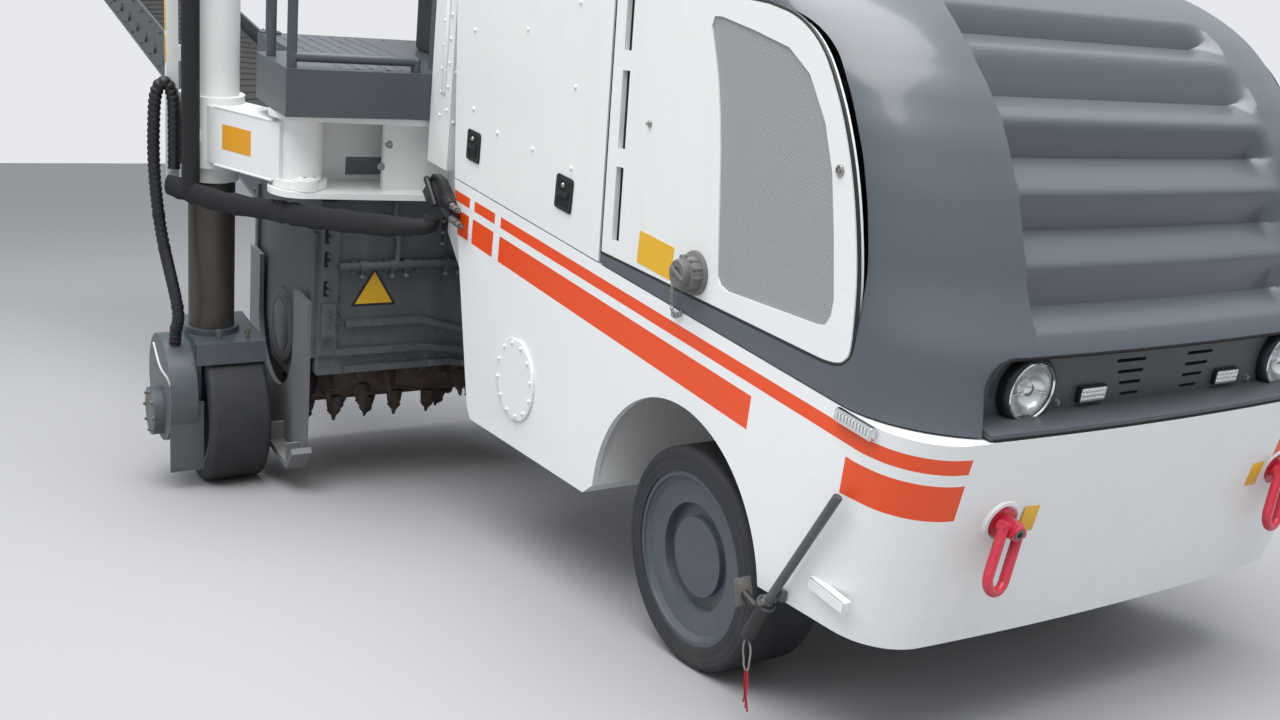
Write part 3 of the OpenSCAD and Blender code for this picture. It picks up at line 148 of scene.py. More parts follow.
def grime_group():
    """Values that all finishes share: Dust, gathered low down; Tone; Spots; Streaks; Peel."""
    tree = bpy.data.node_groups.new("grime", "ShaderNodeTree")
    for name in ("Dust", "Tone", "Spots", "Streaks", "Peel"):
        tree.interface.new_socket(name, in_out="OUTPUT", socket_type="NodeSocketFloat")
    g = Graph(tree)
    out = g.node("NodeGroupOutput")
    place = g.place()
    part = g.node("ShaderNodeSeparateXYZ")
    g.put(part.inputs[0], place)
    low = g.spread(part.outputs[2], 0.15, 1.05, 1.0, 0.0)
    cloud = g.spread(g.noise(2.3, 7.0, 0.62, place), 0.40, 0.72)
    fine = g.spread(g.noise(26.0, 5.0, 0.7, place), 0.46, 0.70)
    splash = g.math("MULTIPLY", g.math("ADD", cloud, g.math("MULTIPLY", fine, 0.6)), low, True)
    g.put(out.inputs["Dust"], splash)
    g.put(out.inputs["Tone"], g.noise(1.1, 3.0, 0.5, place))
    g.put(out.inputs["Spots"], g.spread(g.noise(70.0, 3.0, 0.6, place), 0.60, 0.72))
    g.put(out.inputs["Streaks"], g.spread(g.noise(9.0, 4.0, 0.6, g.place((1, 1, 0.08))), 0.52, 0.75))
    g.put(out.inputs["Peel"], g.noise(320.0, 2.0, 0.5, place))
    return tree


GRIME = grime_group()
DUST = (0.26, 0.24, 0.215, 1)


def finish(name, colour, rough, metallic=0.0, coat=0.0, dust=0.12, tone=0.06, peel=0.05,
           streaks=0.0, dirt=DUST, spots=0.06, change=None, bump=None):
    """A painted or bare surface with grime; change(g, colour) may add marks and bump(g) relief."""
    mat = bpy.data.materials.new(name)
    mat.use_nodes = True
    g = Graph(mat.node_tree)
    shader = mat.node_tree.nodes["Principled BSDF"]
    grime = g.node("ShaderNodeGroup")
    grime.node_tree = GRIME
    base = (*colour, 1)
    dark = tuple(c * (1 - tone) for c in colour) + (1,)
    paint = g.mix(grime.outputs["Tone"], dark, base)
    if change:
        paint = change(g, paint)
    if streaks:
        paint = g.mix(g.math("MULTIPLY", grime.outputs["Streaks"], streaks), paint, dirt)
    paint = g.mix(g.math("MULTIPLY", grime.outputs["Dust"], dust), paint, dirt)
    paint = g.mix(g.math("MULTIPLY", grime.outputs["Spots"], spots), paint, dirt)
    g.put(shader.inputs["Base Color"], paint)
    wear = g.math("MULTIPLY", grime.outputs["Dust"], 0.5 * min(1.0, dust * 3))
    g.put(shader.inputs["Roughness"], g.math("ADD", wear, rough, True))
    shader.inputs["Metallic"].default_value = metallic
    shader.inputs["Coat Weight"].default_value = coat
    shader.inputs["Coat Roughness"].default_value = 0.12
    relief = g.node("ShaderNodeBump")
    relief.inputs["Strength"].default_value = 0.35
    relief.inputs["Distance"].default_value = 0.001
    height = g.math("MULTIPLY", grime.outputs["Peel"], peel)
    if bump:
        height = g.math("ADD", height, bump(g))
    g.put(relief.inputs["Height"], height)
    g.put(shader.inputs["Normal"], relief.outputs[0])
    return mat


ORANGE = (0.80, 0.068, 0.002, 1)
# Ends of the stripes along the body and their heights, in metres
THIN_X = [(-1.762, -1.613), (-1.570, -1.388), (-1.338, 5.0)]
WIDE_X = [(-1.723, -1.611), (-1.576, -1.391), (-1.338, 0.229), (0.615, 5.0)]
THIN_Z = (0.963, 1.002)
WIDE_Z = (0.839, 0.933)
# Ahead of NOSE_FROM the stripes stop short of the nose's middle, and only the outer skins take them
NOSE_FROM = 0.78
BARE_NOSE_Y = (-0.692, 0.500)
SKIN_Y = (-0.55, 0.499)


def stripes(g, colour):
    """Two orange bands with their short blocks behind; the bare place was for lettering."""
    x, y, z = g.chassis()

    def band(heights, spans):
        runs = 0.0
        for a, b in spans:
            runs = g.math("ADD", runs, g.between(x, a, b))
        return g.math("MULTIPLY", runs, g.between(z, *heights))

    marks = g.math("ADD", band(THIN_Z, THIN_X), band(WIDE_Z, WIDE_X))
    front = g.math("GREATER_THAN", x, NOSE_FROM)
    middle = g.between(y, *BARE_NOSE_Y)
    skin = g.math("ADD", g.math("LESS_THAN", y, SKIN_Y[0]), g.math("GREATER_THAN", y, SKIN_Y[1]))
    keep = g.math("MULTIPLY", g.math("SUBTRACT", 1.0, g.math("MULTIPLY", front, middle)), skin)
    return g.mix(g.math("MULTIPLY", marks, keep, True), colour, ORANGE)


GUARD_TOP = 392
LEG_TUBE_R = 99


def tube_dark(g, colour):
    """The leg's inner tube is bare and oily above its wheel guard."""
    x, _, z = g.chassis()
    low = (REAR_WHEEL_Z + GUARD_TOP) / 1000
    near = g.between(x, -(WHEEL_BASE + LEG_TUBE_R) / 1000, -(WHEEL_BASE - LEG_TUBE_R) / 1000)
    tube = g.math("MULTIPLY", near, g.math("GREATER_THAN", z, low))
    runs = g.noise(7.0, 6.0, 0.6, g.place((1, 1, 0.25)))
    oil = g.mix(runs, (0.012, 0.010, 0.009, 1), (0.075, 0.060, 0.048, 1))
    return g.mix(tube, colour, oil)


def perforated(g, colour):
    """Rows of small round holes, each row half a step on; the holes are painted dark, the shade behind the
    grille.
    """
    x, _, z = g.chassis()
    step = 0.0075
    a = g.math("SINE", g.math("MULTIPLY", g.math("ADD", x, z), math.pi / step))
    b = g.math("SINE", g.math("MULTIPLY", g.math("SUBTRACT", x, z), math.pi / step))
    hole = g.math("GREATER_THAN", g.math("ABSOLUTE", g.math("MULTIPLY", a, b)), 0.42)
    # painted shade: the holes are dark
    return g.mix(hole, colour, (0.10, 0.105, 0.11, 1))


def woven(g):
    """Relief of two crossing sets of threads, over slack folds."""
    x, y, z = g.chassis()
    a = g.math("SINE", g.math("MULTIPLY", g.math("ADD", g.math("ADD", x, y), z), 900.0))
    b = g.math("SINE", g.math("MULTIPLY", g.math("SUBTRACT", g.math("ADD", x, z), y), 900.0))
    folds = g.math("MULTIPLY", g.noise(14.0, 4.0, 0.6, g.place()), 8.0)
    return g.math("ADD", g.math("MULTIPLY", g.math("ADD", a, b), 0.35), folds)


def rough_relief(scale, depth):
    def bump(g):
        return g.math("MULTIPLY", g.noise(scale, 5.0, 0.65, g.place()), depth)

    return bump


def rusty(amount, scale=9.0):
    def change(g, colour):
        mask = g.spread(g.noise(scale, 8.0, 0.7, g.place()), 0.62 - amount * 0.3, 0.70)
        return g.mix(mask, colour, (0.13, 0.055, 0.025, 1))

    return change


def scuffed(g, colour):
    """Pale scrapes where paint has worn off near the ground."""
    mask = g.spread(g.noise(12.0, 8.0, 0.75, g.place((1, 1, 0.4))), 0.60, 0.68)
    low = g.spread(g.chassis()[2], -0.36, 0.30, 1.0, 0.15)
    return g.mix(g.math("MULTIPLY", g.math("MULTIPLY", mask, low), 0.75), colour, (0.30, 0.31, 0.32, 1))


WHITE = finish("white_paint_body", (0.82, 0.835, 0.83), 0.38, coat=0.12, dust=0.10, tone=0.035,
               change=stripes)
WHITE_PLAIN = finish("white_paint", (0.80, 0.815, 0.805), 0.38, coat=0.12, dust=0.12, tone=0.05, streaks=0.05)
GREY = finish("grey_paint", (0.060, 0.072, 0.086), 0.42, coat=0.15, dust=0.30, tone=0.12,
              streaks=0.06, change=scuffed)
HOOD = finish("hood_paint", (0.083, 0.096, 0.112), 0.36, coat=0.35, dust=0.05, tone=0.08,
              peel=0.08, spots=0.02)
HOUSING = finish("housing_paint", (0.070, 0.082, 0.094), 0.5, dust=0.55, tone=0.2, streaks=0.15,
                 change=scuffed)
LEG = finish("leg_paint", (0.060, 0.076, 0.091), 0.4, coat=0.1, dust=0.25, tone=0.12, change=tube_dark)
TYRE = finish("tyre_rubber", (0.020, 0.023, 0.028), 0.62, dust=0.35, tone=0.3, peel=0.3,
              dirt=(0.10, 0.095, 0.09, 1), bump=rough_relief(60.0, 2.0))
RIM = finish("rim_paint", (0.056, 0.071, 0.088), 0.40, coat=0.1, dust=0.16, tone=0.1)
BLACK = finish("black_plastic", (0.012, 0.013, 0.015), 0.42, dust=0.08, tone=0.1)
PANEL = finish("lamp_panel_paint", (0.062, 0.072, 0.082), 0.45, dust=0.10, tone=0.1, peel=0.3)
GRILLE = finish("grille_grey", (0.46, 0.475, 0.475), 0.55, dust=0.08, tone=0.05, change=perforated)
RED = finish("red_paint", (0.60, 0.018, 0.050), 0.30, coat=0.3, dust=0.15, tone=0.15, change=scuffed)
HOSE = finish("hose_sleeve", (0.014, 0.014, 0.017), 0.85, dust=0.25, tone=0.3, bump=woven)
RUBBER = finish("rubber_hose", (0.010, 0.010, 0.012), 0.5, dust=0.2, tone=0.2)
STEEL = finish("steel", (0.42, 0.41, 0.39), 0.36, metallic=0.85, dust=0.2, tone=0.2, spots=0.2)
WORN = finish("worn_steel", (0.20, 0.19, 0.175), 0.5, metallic=0.5, dust=0.3, tone=0.25, change=rusty(0.25))
DRUM = finish("drum_steel", (0.055, 0.042, 0.034), 0.75, metallic=0.2, dust=0.5, tone=0.4,
              change=rusty(0.5, 14.0), bump=rough_relief(45.0, 5.0))
CAP = finish("cap_grey", (0.155, 0.150, 0.145), 0.5, dust=0.2, tone=0.15)
SEAT = finish("seat_cover", (0.020, 0.020, 0.022), 0.6, dust=0.05, bump=rough_relief(120.0, 2.5))
BELT = finish("belt_rubber", (0.022, 0.022, 0.022), 0.8, dust=0.6, tone=0.3, bump=rough_relief(50.0, 4.0))
YELLOW = finish("yellow_sticker", (0.761, 0.430, 0.019), 0.35, dust=0.05, tone=0.03, peel=0.0)
AMBER = finish("amber_sticker", (0.745, 0.330, 0.012), 0.35, dust=0.05, tone=0.03, peel=0.0)
# Painted shade: a near-black put in slots, sockets, holes, pockets and gaps where shade falls.
PAINTED_SHADE = finish("painted_shade_black", (0.004, 0.004, 0.005), 0.9, dust=0.0, tone=0.0)
TAIL = finish("tail_red", (0.45, 0.008, 0.008), 0.15, coat=0.6, dust=0.05)
CHROME = finish("chrome", (0.78, 0.79, 0.80), 0.10, metallic=1.0, dust=0.02, tone=0.02, peel=0.0, spots=0.0)
LABEL = finish("pale_label", (0.62, 0.63, 0.61), 0.5, dust=0.05)
REFLECTOR = finish("reflector", (0.86, 0.88, 0.89), 0.22, metallic=0.75, dust=0.0, tone=0.05,
                   peel=0.0, spots=0.0)
PLATE = finish("side_plate_paint", (0.17, 0.18, 0.19), 0.45, dust=0.35, tone=0.25, change=scuffed)


def glass(name, tint, rough):
    """Thin lamp glass, which bends light little."""
    mat = bpy.data.materials.new(name)
    mat.use_nodes = True
    shader = mat.node_tree.nodes["Principled BSDF"]
    shader.inputs["Base Color"].default_value = (*tint, 1)
    shader.inputs["Roughness"].default_value = rough
    shader.inputs["Transmission Weight"].default_value = 1.0
    shader.inputs["IOR"].default_value = 1.3
    return mat


GLASS = glass("lamp_glass", (0.96, 0.98, 0.98), 0.02)

BY_SLOT = {
    "white_paint": WHITE_PLAIN, "grey_paint": GREY, "tyre_rubber": TYRE, "rim_paint": RIM,
    "black_plastic": BLACK, "grille_grey": GRILLE, "lamp_glass": CHROME, "red_paint": RED,
    "hose_rubber": HOSE, "steel": WORN, "drum_steel": DRUM, "belt_rubber": BELT,
    "seat_vinyl": SEAT, "tail_red": TAIL,
}
BY_NODE = {
    "lower_frame": WHITE, "hood": HOOD, "drum_housing": HOUSING, "scraper": HOUSING,
    "leg_right": LEG, "leg_left": LEG, "lamp_panel": PANEL, "fuel_cap": CAP, "door_right": WHITE_PLAIN,
    "side_plate_right": PLATE, "side_plate_left": PLATE, "motor_hose": RUBBER,
}


def paint_frame():
    """Give each CAD node its own finish, or else the one of its slot."""
    for sub in frame["record"]["subparts"]:
        node = bpy.data.objects.get(sub["node"])
        if node is None:
            continue
        node.data.materials.clear()
        node.data.materials.append(BY_NODE.get(sub["node"], BY_SLOT[sub["material_slot"]]))


# Shapes, all in chassis millimetres
def faces_of(verts, mat):
    """The faces around new vertices, with their material set."""
    faces = {f for v in verts for f in v.link_faces}
    for f in faces:
        f.material_index = mat
    return faces


# Profiles of a bevel
ROUND, STEPPED = 0.5, 0.0


def soften(bm, edges, offset, profile=STEPPED):
    bmesh.ops.bevel(
        bm, geom=list(edges), offset=offset, segments=2, affect="EDGES", profile=profile, clamp_overlap=True
    )


def block(bm, x0, x1, y0, y1, z0, z1, bevel=0.0, mat=0, turn=None):
    """A box between two corners; turn is in degrees about its middle."""
    middle = Vector(((x0 + x1) / 2, (y0 + y1) / 2, (z0 + z1) / 2))
    matrix = Matrix.Translation(middle)
    if turn:
        matrix = matrix @ Euler([math.radians(a) for a in turn]).to_matrix().to_4x4()
    matrix = matrix @ Matrix.Diagonal((abs(x1 - x0), abs(y1 - y0), abs(z1 - z0), 1))
    faces = faces_of(bmesh.ops.create_cube(bm, size=1, matrix=matrix)["verts"], mat)
    if bevel:
        soften(bm, {e for f in faces for e in f.edges}, bevel, ROUND)


def rod(bm, a, b, r, segs=28, bevel=0.0, mat=0, r2=None):
    """A cylinder from a to b, or a cone that ends in r2."""
    a, b = Vector(a), Vector(b)
    axis = b - a
    turn = axis.to_track_quat("Z", "Y").to_matrix().to_4x4()
    matrix = Matrix.Translation((a + b) / 2) @ turn
    end_r = r if r2 is None else r2
    made = bmesh.ops.create_cone(
        bm, cap_ends=True, segments=segs, radius1=r, radius2=end_r, depth=axis.length, matrix=matrix
    )
    faces = faces_of(made["verts"], mat)
    if bevel:
        soften(bm, {e for f in faces if len(f.verts) == segs for e in f.edges}, bevel)


def lathe(bm, profile, place, axis, segs=48, mat=0):
    """Rings of (radius, height along the axis) about an axis through place."""
    turn = Vector(axis).to_track_quat("Z", "Y").to_matrix()
    place = Vector(place)
    rings = []
    for r, h in profile:
        if r < 1e-6:
            rings.append([bm.verts.new(place + turn @ Vector((0, 0, h)))])
            continue
        rings.append([
            bm.verts.new(place + turn @ Vector((r * math.cos(t), r * math.sin(t), h)))
            for t in (2 * math.pi * i / segs for i in range(segs))
        ])
    for low, high in zip(rings, rings[1:]):
        for i in range(segs):
            j = (i + 1) % segs
            if len(low) == 1 and len(high) == 1:
                continue
            if len(low) == 1:
                f = bm.faces.new((low[0], high[j], high[i]))
            elif len(high) == 1:
                f = bm.faces.new((low[i], low[j], high[0]))
            else:
                f = bm.faces.new((low[i], low[j], high[j], high[i]))
            f.material_index = mat


def smooth(points, steps=8):
    """A rounded line through the points."""
    pts = [Vector(p) for p in points]
    ends = [pts[0] * 2 - pts[1]] + pts + [pts[-1] * 2 - pts[-2]]
    line = []
    for i in range(1, len(ends) - 2):
        a, b, c, d = ends[i - 1:i + 3]
        for k in range(steps):
            t = k / steps
            line.append(0.5 * ((2 * b) + (c - a) * t + (2 * a - 5 * b + 4 * c - d) * t * t
                               + (3 * b - a - 3 * c + d) * t ** 3))
    return line + [pts[-1]]


def circle(centre, along, across, count):
    """Points around a centre; along and across are its two half axes."""
    turns = (2 * math.pi * k / count for k in range(count))
    return [centre + along * math.cos(t) + across * math.sin(t) for t in turns]


def around(centre, r, degrees):
    """A point of a circle about an axis across the machine."""
    t = math.radians(degrees)
    return centre + Vector((r * math.cos(t), 0, r * math.sin(t)))


def tube(bm, points, radius, segs=16, mat=0, closed=False, flat=None):
    """A tube along points. radius is a number or a function of the distance; flat squeezes it there."""
    pts = [Vector(p) for p in points]
    rings, frame_up, gone = [], None, 0.0
    count = len(pts)
    for i, p in enumerate(pts):
        if closed:
            ahead, back = pts[(i + 1) % count], pts[i - 1]
        else:
            ahead, back = pts[min(i + 1, count - 1)], pts[max(i - 1, 0)]
        along = (ahead - back).normalized()
        if frame_up is None:
            frame_up = along.orthogonal().normalized()
            if abs(along.z) < 0.9:
                frame_up = (Vector((0, 0, 1)) - along * along.z).normalized()
        frame_up = (frame_up - along * frame_up.dot(along)).normalized()
        across = along.cross(frame_up)
        r = radius(gone) if callable(radius) else radius
        high, wide = flat(gone) if flat else (1.0, 1.0)
        rings.append([bm.verts.new(v) for v in circle(p, frame_up * (r * high), across * (r * wide), segs)])
        gone += (ahead - p).length
    pairs = list(zip(rings, rings[1:])) + ([(rings[-1], rings[0])] if closed else [])
    for low, high in pairs:
        for k in range(segs):
            j = (k + 1) % segs
            bm.faces.new((low[k], low[j], high[j], high[k])).material_index = mat
    if not closed:
        bm.faces.new(list(reversed(rings[0]))).material_index = mat
        bm.faces.new(rings[-1]).material_index = mat


def prism(bm, outline, axis, a, b, mat=0, bevel=0.0):
    """An outline across the axis, from a to b: (x, z) for y, (y, z) for x, (x, y) for z."""

    def point(u, v, w):
        return {"y": (u, w, v), "x": (w, u, v), "z": (u, v, w)}[axis]

    low = [bm.verts.new(point(u, v, a)) for u, v in outline]
    high = [bm.verts.new(point(u, v, b)) for u, v in outline]
    made = [bm.faces.new(low), bm.faces.new(list(reversed(high)))]
    caps = list(made)
    for i in range(len(outline)):
        j = (i + 1) % len(outline)
        made.append(bm.faces.new((low[j], low[i], high[i], high[j])))
    for f in made:
        f.material_index = mat
    bmesh.ops.recalc_face_normals(bm, faces=made)
    if bevel:
        soften(bm, {e for f in caps for e in f.edges}, bevel)


def rounded(x0, x1, z0, z1, r, steps=6):
    """A rounded rectangle as an outline."""
    corners = ((x1 - r, z1 - r, 0), (x0 + r, z1 - r, 90), (x0 + r, z0 + r, 180), (x1 - r, z0 + r, 270))
    line = []
    for cx, cz, start in corners:
        for k in range(steps + 1):
            t = math.radians(start + 90 * k / steps)
            line.append((cx + r * math.cos(t), cz + r * math.sin(t)))
    return line


def bolt(bm, place, axis, size=16, mat=0):
    """A hexagon head on its washer, out along the axis."""
    p, n = Vector(place), Vector(axis).normalized()
    rod(bm, p - n * 0.5, p + n * size * 0.14, size * 0.62, 20, mat=mat)
    rod(bm, p + n * size * 0.14, p + n * size * 0.62, size * 0.48, 6, mat=mat)
    rod(bm, p + n * size * 0.60, p + n * size * 0.72, size * 0.22, 10, mat=mat)


def rivet(bm, place, axis, r=6, mat=0):
    """A round head on its seat."""
    head = [(r, -0.5), (r, r * 0.2), (r * 0.8, r * 0.55), (r * 0.45, r * 0.75), (0, r * 0.8)]
    lathe(bm, head, place, axis, 14, mat)


def screw_ring(bm, place, axis, r, count, size, mat=0, start=0.0):
    """Bolts around a centre; start is the first one's angle in degrees."""
    turn = Vector(axis).to_track_quat("Z", "Y").to_matrix()
    for i in range(count):
        t = math.radians(start) + 2 * math.pi * i / count
        bolt(bm, Vector(place) + turn @ Vector((r * math.cos(t), r * math.sin(t), 0)), axis, size, mat)


def mesh_of(bm, name):
    mesh = bpy.data.meshes.new(name)
    bm.to_mesh(mesh)
    bm.free()
    return mesh


def piece(name, bm, body, *materials, angle=38):
    """A finished shape as a piece that rides a body; faces sharper than the angle stay sharp."""
    return piece_of(name, mesh_of(bm, name), body, *materials, angle=angle)


def piece_of(name, mesh, body, *materials, angle=38, slot=None):
    mesh.transform(CHASSIS_MM)
    for m in materials:
        mesh.materials.append(m)
    mesh.shade_smooth()
    mesh.set_sharp_from_angle(angle=math.radians(angle))
    obj = bpy.data.objects.new(name, mesh)
    SCENE.collection.objects.link(obj)
    if body:
        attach(obj, body)
    return obj


# Hood. Front face and half width at each height
HOOD_FRONT = [
    (1046, 830), (1100, 818), (1150, 806), (1200, 793), (1240, 776), (1290, 745), (1360, 708), (1450, 675),
    (1560, 630), (1680, 567), (1780, 492), (1860, 405), (1925, 320), (1980, 215), (2020, 110), (2048, 0),
    (2065, -160),
]
HOOD_HALF = [(1860, SIDE), (1925, 857), (1980, 833), (2020, 793), (2048, 740), (2065, 655)]
HOOD_LOW, HOOD_TOP = HOOD_FRONT[0][0], HOOD_FRONT[-1][0]
HOOD_WALL = 22
CORNER_X, CORNER_Y, CORNER_STEPS = 260, 330, 22
# Louvre field: heights of creases (depth 1) and crests (depth 0), from the top down
LOUVRES = [
    (1958, 0), (1925, 1), (1864, 0), (1790, 1), (1722, 0), (1652, 1), (1567, 0), (1492, 1), (1407, 0),
    (1332, 1), (1264, 0),
]
LOUVRE_DEPTH = 46
LOUVRE_SOFT = 0.16
# The field's edge, as a share of the flat front, and how far it fades in on the right and the left
FIELD_EDGE = 0.957
FIELD_FADES = {-1: 0.030, 1: 0.13}


def lookup(table, v):
    """The table's value at v, in a straight line between its rows."""
    if v <= table[0][0]:
        return table[0][1]
    for a, b in zip(table, table[1:]):
        if v <= b[0]:
            return a[1] + (b[1] - a[1]) * (v - a[0]) / (b[0] - a[0])
    return table[-1][1]


def eased(table, z, reach=26):
    """A table of the hood at a height, rounded over its corners."""
    reach = min(reach, z - HOOD_LOW, HOOD_TOP - z)
    return sum(lookup(table, z + reach * s / 6) for s in range(-6, 7)) / 13


def face_x(z):
    """The hood's front face at a height, before its bow."""
    return eased(HOOD_FRONT, z)


def louvre(z):
    """How deep the louvre field lies at a height, from 0 to 1, with soft crests."""
    if not LOUVRES[-1][0] < z < LOUVRES[0][0]:
        return 0.0
    for a, b in zip(LOUVRES, LOUVRES[1:]):
        if b[0] <= z <= a[0]:
            d = a[1] + (b[1] - a[1]) * (a[0] - z) / (a[0] - b[0])
            deepest = math.sqrt(1 + LOUVRE_SOFT * LOUVRE_SOFT) - LOUVRE_SOFT
            return (math.sqrt(d * d + LOUVRE_SOFT * LOUVRE_SOFT) - LOUVRE_SOFT) / deepest
    return 0.0


def hood_seam(z):
    """The leaning seam between the hood and the rear cover."""
    return -620 - (z - 1040) * 0.084


BOW = 38
BOW_FROM, BOW_TO = 420, 740


def bow(x, y):
    """How far the front bulges there, fading out towards the front wheels."""
    reach = max(0.0, min(1.0, (x - BOW_FROM) / (BOW_TO - BOW_FROM)))
    return BOW * reach * reach * (3 - 2 * reach) * max(0.0, 1 - (y / SIDE) ** 2)


def bowed(mesh):
    for v in mesh.vertices:
        v.co.x += bow(v.co.x, v.co.y)


def hood_rows():
    """Heights of the skin's rows, closer together over the louvres and the rounded top."""
    rows = set(range(HOOD_LOW, 1260, 12)) | set(range(1960, HOOD_TOP, 5)) | {HOOD_TOP}
    for a, b in zip(LOUVRES, LOUVRES[1:]):
        for k in range(13):
            rows.add(round(a[0] + (b[0] - a[0]) * k / 12, 2))
    return sorted(rows)


def hood_ring(z, across):
    """A level line around the hood, from the rear of the right side to the rear of the left."""
    front, half = face_x(z), eased(HOOD_HALF, z)
    slope = (face_x(min(z + 4, HOOD_TOP)) - face_x(max(z - 4, HOOD_LOW))) / 8
    out = Vector((1, 0, -slope)).normalized()
    rear = hood_seam(z) + 6
    cx, cy = min(CORNER_X, (front - rear) * 0.6), CORNER_Y
    side = [(rear + (front - cx - rear) * k / CORNER_STEPS, half) for k in range(CORNER_STEPS)]
    turn = [
        (front - cx + cx * math.sin(t), half - cy + cy * math.cos(t))
        for t in (math.pi / 2 * k / CORNER_STEPS for k in range(CORNER_STEPS))
    ]
    ring = [Vector((x, -y, z)) for x, y in side + turn]
    for t in across:
        fade = max(0.0, min(1.0, (FIELD_EDGE - abs(t)) / FIELD_FADES[1 if t > 0 else -1]))
        depth = LOUVRE_DEPTH * louvre(z) * math.sin(fade * math.pi / 2)
        ring.append(Vector((front, t * (half - cy), z)) - out * depth)
    return ring + [Vector((x, y, z)) for x, y in reversed(side + turn)]


def hood_mesh():
    """The hood's skin, open below and behind, with its louvres pressed in."""
    across = sorted(
        [k / 24 for k in range(-24, 25)]
        + [s * (FIELD_EDGE - FIELD_FADES[s] * k / 10) for s in (-1, 1) for k in range(11)]
        + [s * (FIELD_EDGE + 0.004) for s in (-1, 1)]
    )
    bm = bmesh.new()
    rings = [[bm.verts.new(p) for p in hood_ring(z, across)] for z in hood_rows()]
    for low, high in zip(rings, rings[1:]):
        for i in range(len(low) - 1):
            bm.faces.new((low[i], low[i + 1], high[i + 1], high[i]))
    bm.faces.new(rings[-1])
    bm.normal_update()
    front = max(bm.faces, key=lambda f: f.calc_center_median().x)
    if front.normal.x < 0:
        bmesh.ops.reverse_faces(bm, faces=bm.faces[:])
    return mesh_of(bm, "hood_skin")


def rounded_line(points, steps=6):
    """A rounded line through (x, z) points."""
    return [(p.x, p.z) for p in smooth([(x, 0, z) for x, z in points], steps)]


DOOR_LOW_Z, DOOR_TOP_Z = 1082, 1905
DOOR_GAP = 8
DOOR_FRONT = [
    (470, 1124), (520, 1132), (553, 1150), (566, 1190), (548, 1330), (514, 1454), (469, 1570), (417, 1669),
    (360, 1752), (301, 1818), (236, 1862), (160, 1889), (60, 1902),
]
DOOR = (
    [(hood_seam(DOOR_LOW_Z) + DOOR_GAP, DOOR_LOW_Z)]
    + rounded_line(DOOR_FRONT)
    + [(hood_seam(DOOR_TOP_Z) + DOOR_GAP, DOOR_TOP_Z)]
)
GRILLE_OUTLINE = [
    (-169, 1817), (-150, 1778), (-112, 1698), (-82, 1610), (-58, 1524), (-30, 1390), (2, 1230), (8, 1192),
    (26, 1174), (60, 1168), (250, 1186), (430, 1203), (462, 1212), (475, 1236), (476, 1275), (438, 1420),
    (395, 1560), (342, 1664), (259, 1761), (167, 1808), (20, 1828), (-130, 1843), (-162, 1840),
]


def grown(outline, d):
    """An outline moved out by d, for outlines listed counter-clockwise."""
    made = []
    n = len(outline)
    for i in range(n):
        a, b, c = (Vector(outline[(i + k) % n]) for k in (-1, 0, 1))
        e, f = (b - a).normalized(), (c - b).normalized()
        na, nb = Vector((e.y, -e.x)), Vector((f.y, -f.x))
        m = (na + nb).normalized()
        made.append(tuple(b + m * (d / max(0.5, m.dot(na)))))
    return made


PANEL_CORNER_R = 80
PANEL_HALF, PANEL_TOP_Z = 661, 1222


def panel_outline(inset, low):
    """The lamp panel's outline, round in its upper corners, drawn in from the hood's opening."""
    half, top, r = PANEL_HALF - inset, PANEL_TOP_Z - inset, PANEL_CORNER_R
    corner = [
        (half - r + r * math.cos(t), top - r + r * math.sin(t))
        for t in (math.pi / 2 * k / 10 for k in range(11))
    ]
    return [(-half, low), (half, low)] + corner + [(-y, z) for y, z in reversed(corner)]


def carved(mesh, cuts, wall=0):
    """A mesh, given a wall inwards, less each of the cutters."""
    body = bpy.data.objects.new("carved", mesh)
    SCENE.collection.objects.link(body)
    if wall:
        mod = body.modifiers.new("wall", "SOLIDIFY")
        mod.thickness = wall
        mod.offset = -1
    cutters = []
    for bm in cuts:
        bmesh.ops.recalc_face_normals(bm, faces=bm.faces[:])
        obj = bpy.data.objects.new("cutter", mesh_of(bm, "cutter"))
        SCENE.collection.objects.link(obj)
        cutters.append(obj)
        mod = body.modifiers.new("cut", "BOOLEAN")
        mod.operation = "DIFFERENCE"
        mod.solver = "EXACT"
        mod.object = obj
    bpy.context.view_layer.update()
    graph = bpy.context.evaluated_depsgraph_get()
    made = bpy.data.meshes.new_from_object(body.evaluated_get(graph))
    made.materials.clear()
    for obj in cutters + [body]:
        bpy.data.objects.remove(obj)
    return made


STRIPS_HALF = 840


def strips(mesh, step=60):
    """Extra edges across the machine, so that a flat front can be bowed."""
    bm = bmesh.new()
    bm.from_mesh(mesh)
    bmesh.ops.remove_doubles(bm, verts=bm.verts[:], dist=0.001)
    for y in range(-STRIPS_HALF, STRIPS_HALF + 1, step):
        geom = bm.verts[:] + bm.edges[:] + bm.faces[:]
        bmesh.ops.bisect_plane(bm, geom=geom, dist=0.01, plane_co=(0, y, 0), plane_no=(0, 1, 0))
    bm.to_mesh(mesh)
    bm.free()


def body_skin():
    """The white body with its nose bowed like the hood above it."""
    mesh = bpy.data.objects["lower_frame"].data.copy()
    mesh.transform(CHASSIS_MM.inverted())
    strips(mesh, 70)
    bowed(mesh)
    mesh.materials.clear()
    obj = piece_of("body_skin", mesh, "chassis", WHITE, angle=13)
    level = obj.modifiers.new("level", "WEIGHTED_NORMAL")
    level.keep_sharp = True
    level.weight = 100
    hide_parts("lower_frame")


def hood_shell():
    """The hood's bowed shell with its door openings and the opening for the lamp panel."""
    cuts = []
    for _, s in SIDES:
        bm = bmesh.new()
        prism(bm, grown(DOOR, 7), "y", s * 780, s * 930)
        cuts.append(bm)
    bm = bmesh.new()
    prism(bm, panel_outline(0, 1030), "x", 650, 900)
    cuts.append(bm)
    mesh = carved(hood_mesh(), cuts, HOOD_WALL)
    bowed(mesh)
    obj = piece_of("hood_shell", mesh, "hood", HOOD, angle=32, slot="grey_paint")
    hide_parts("hood")


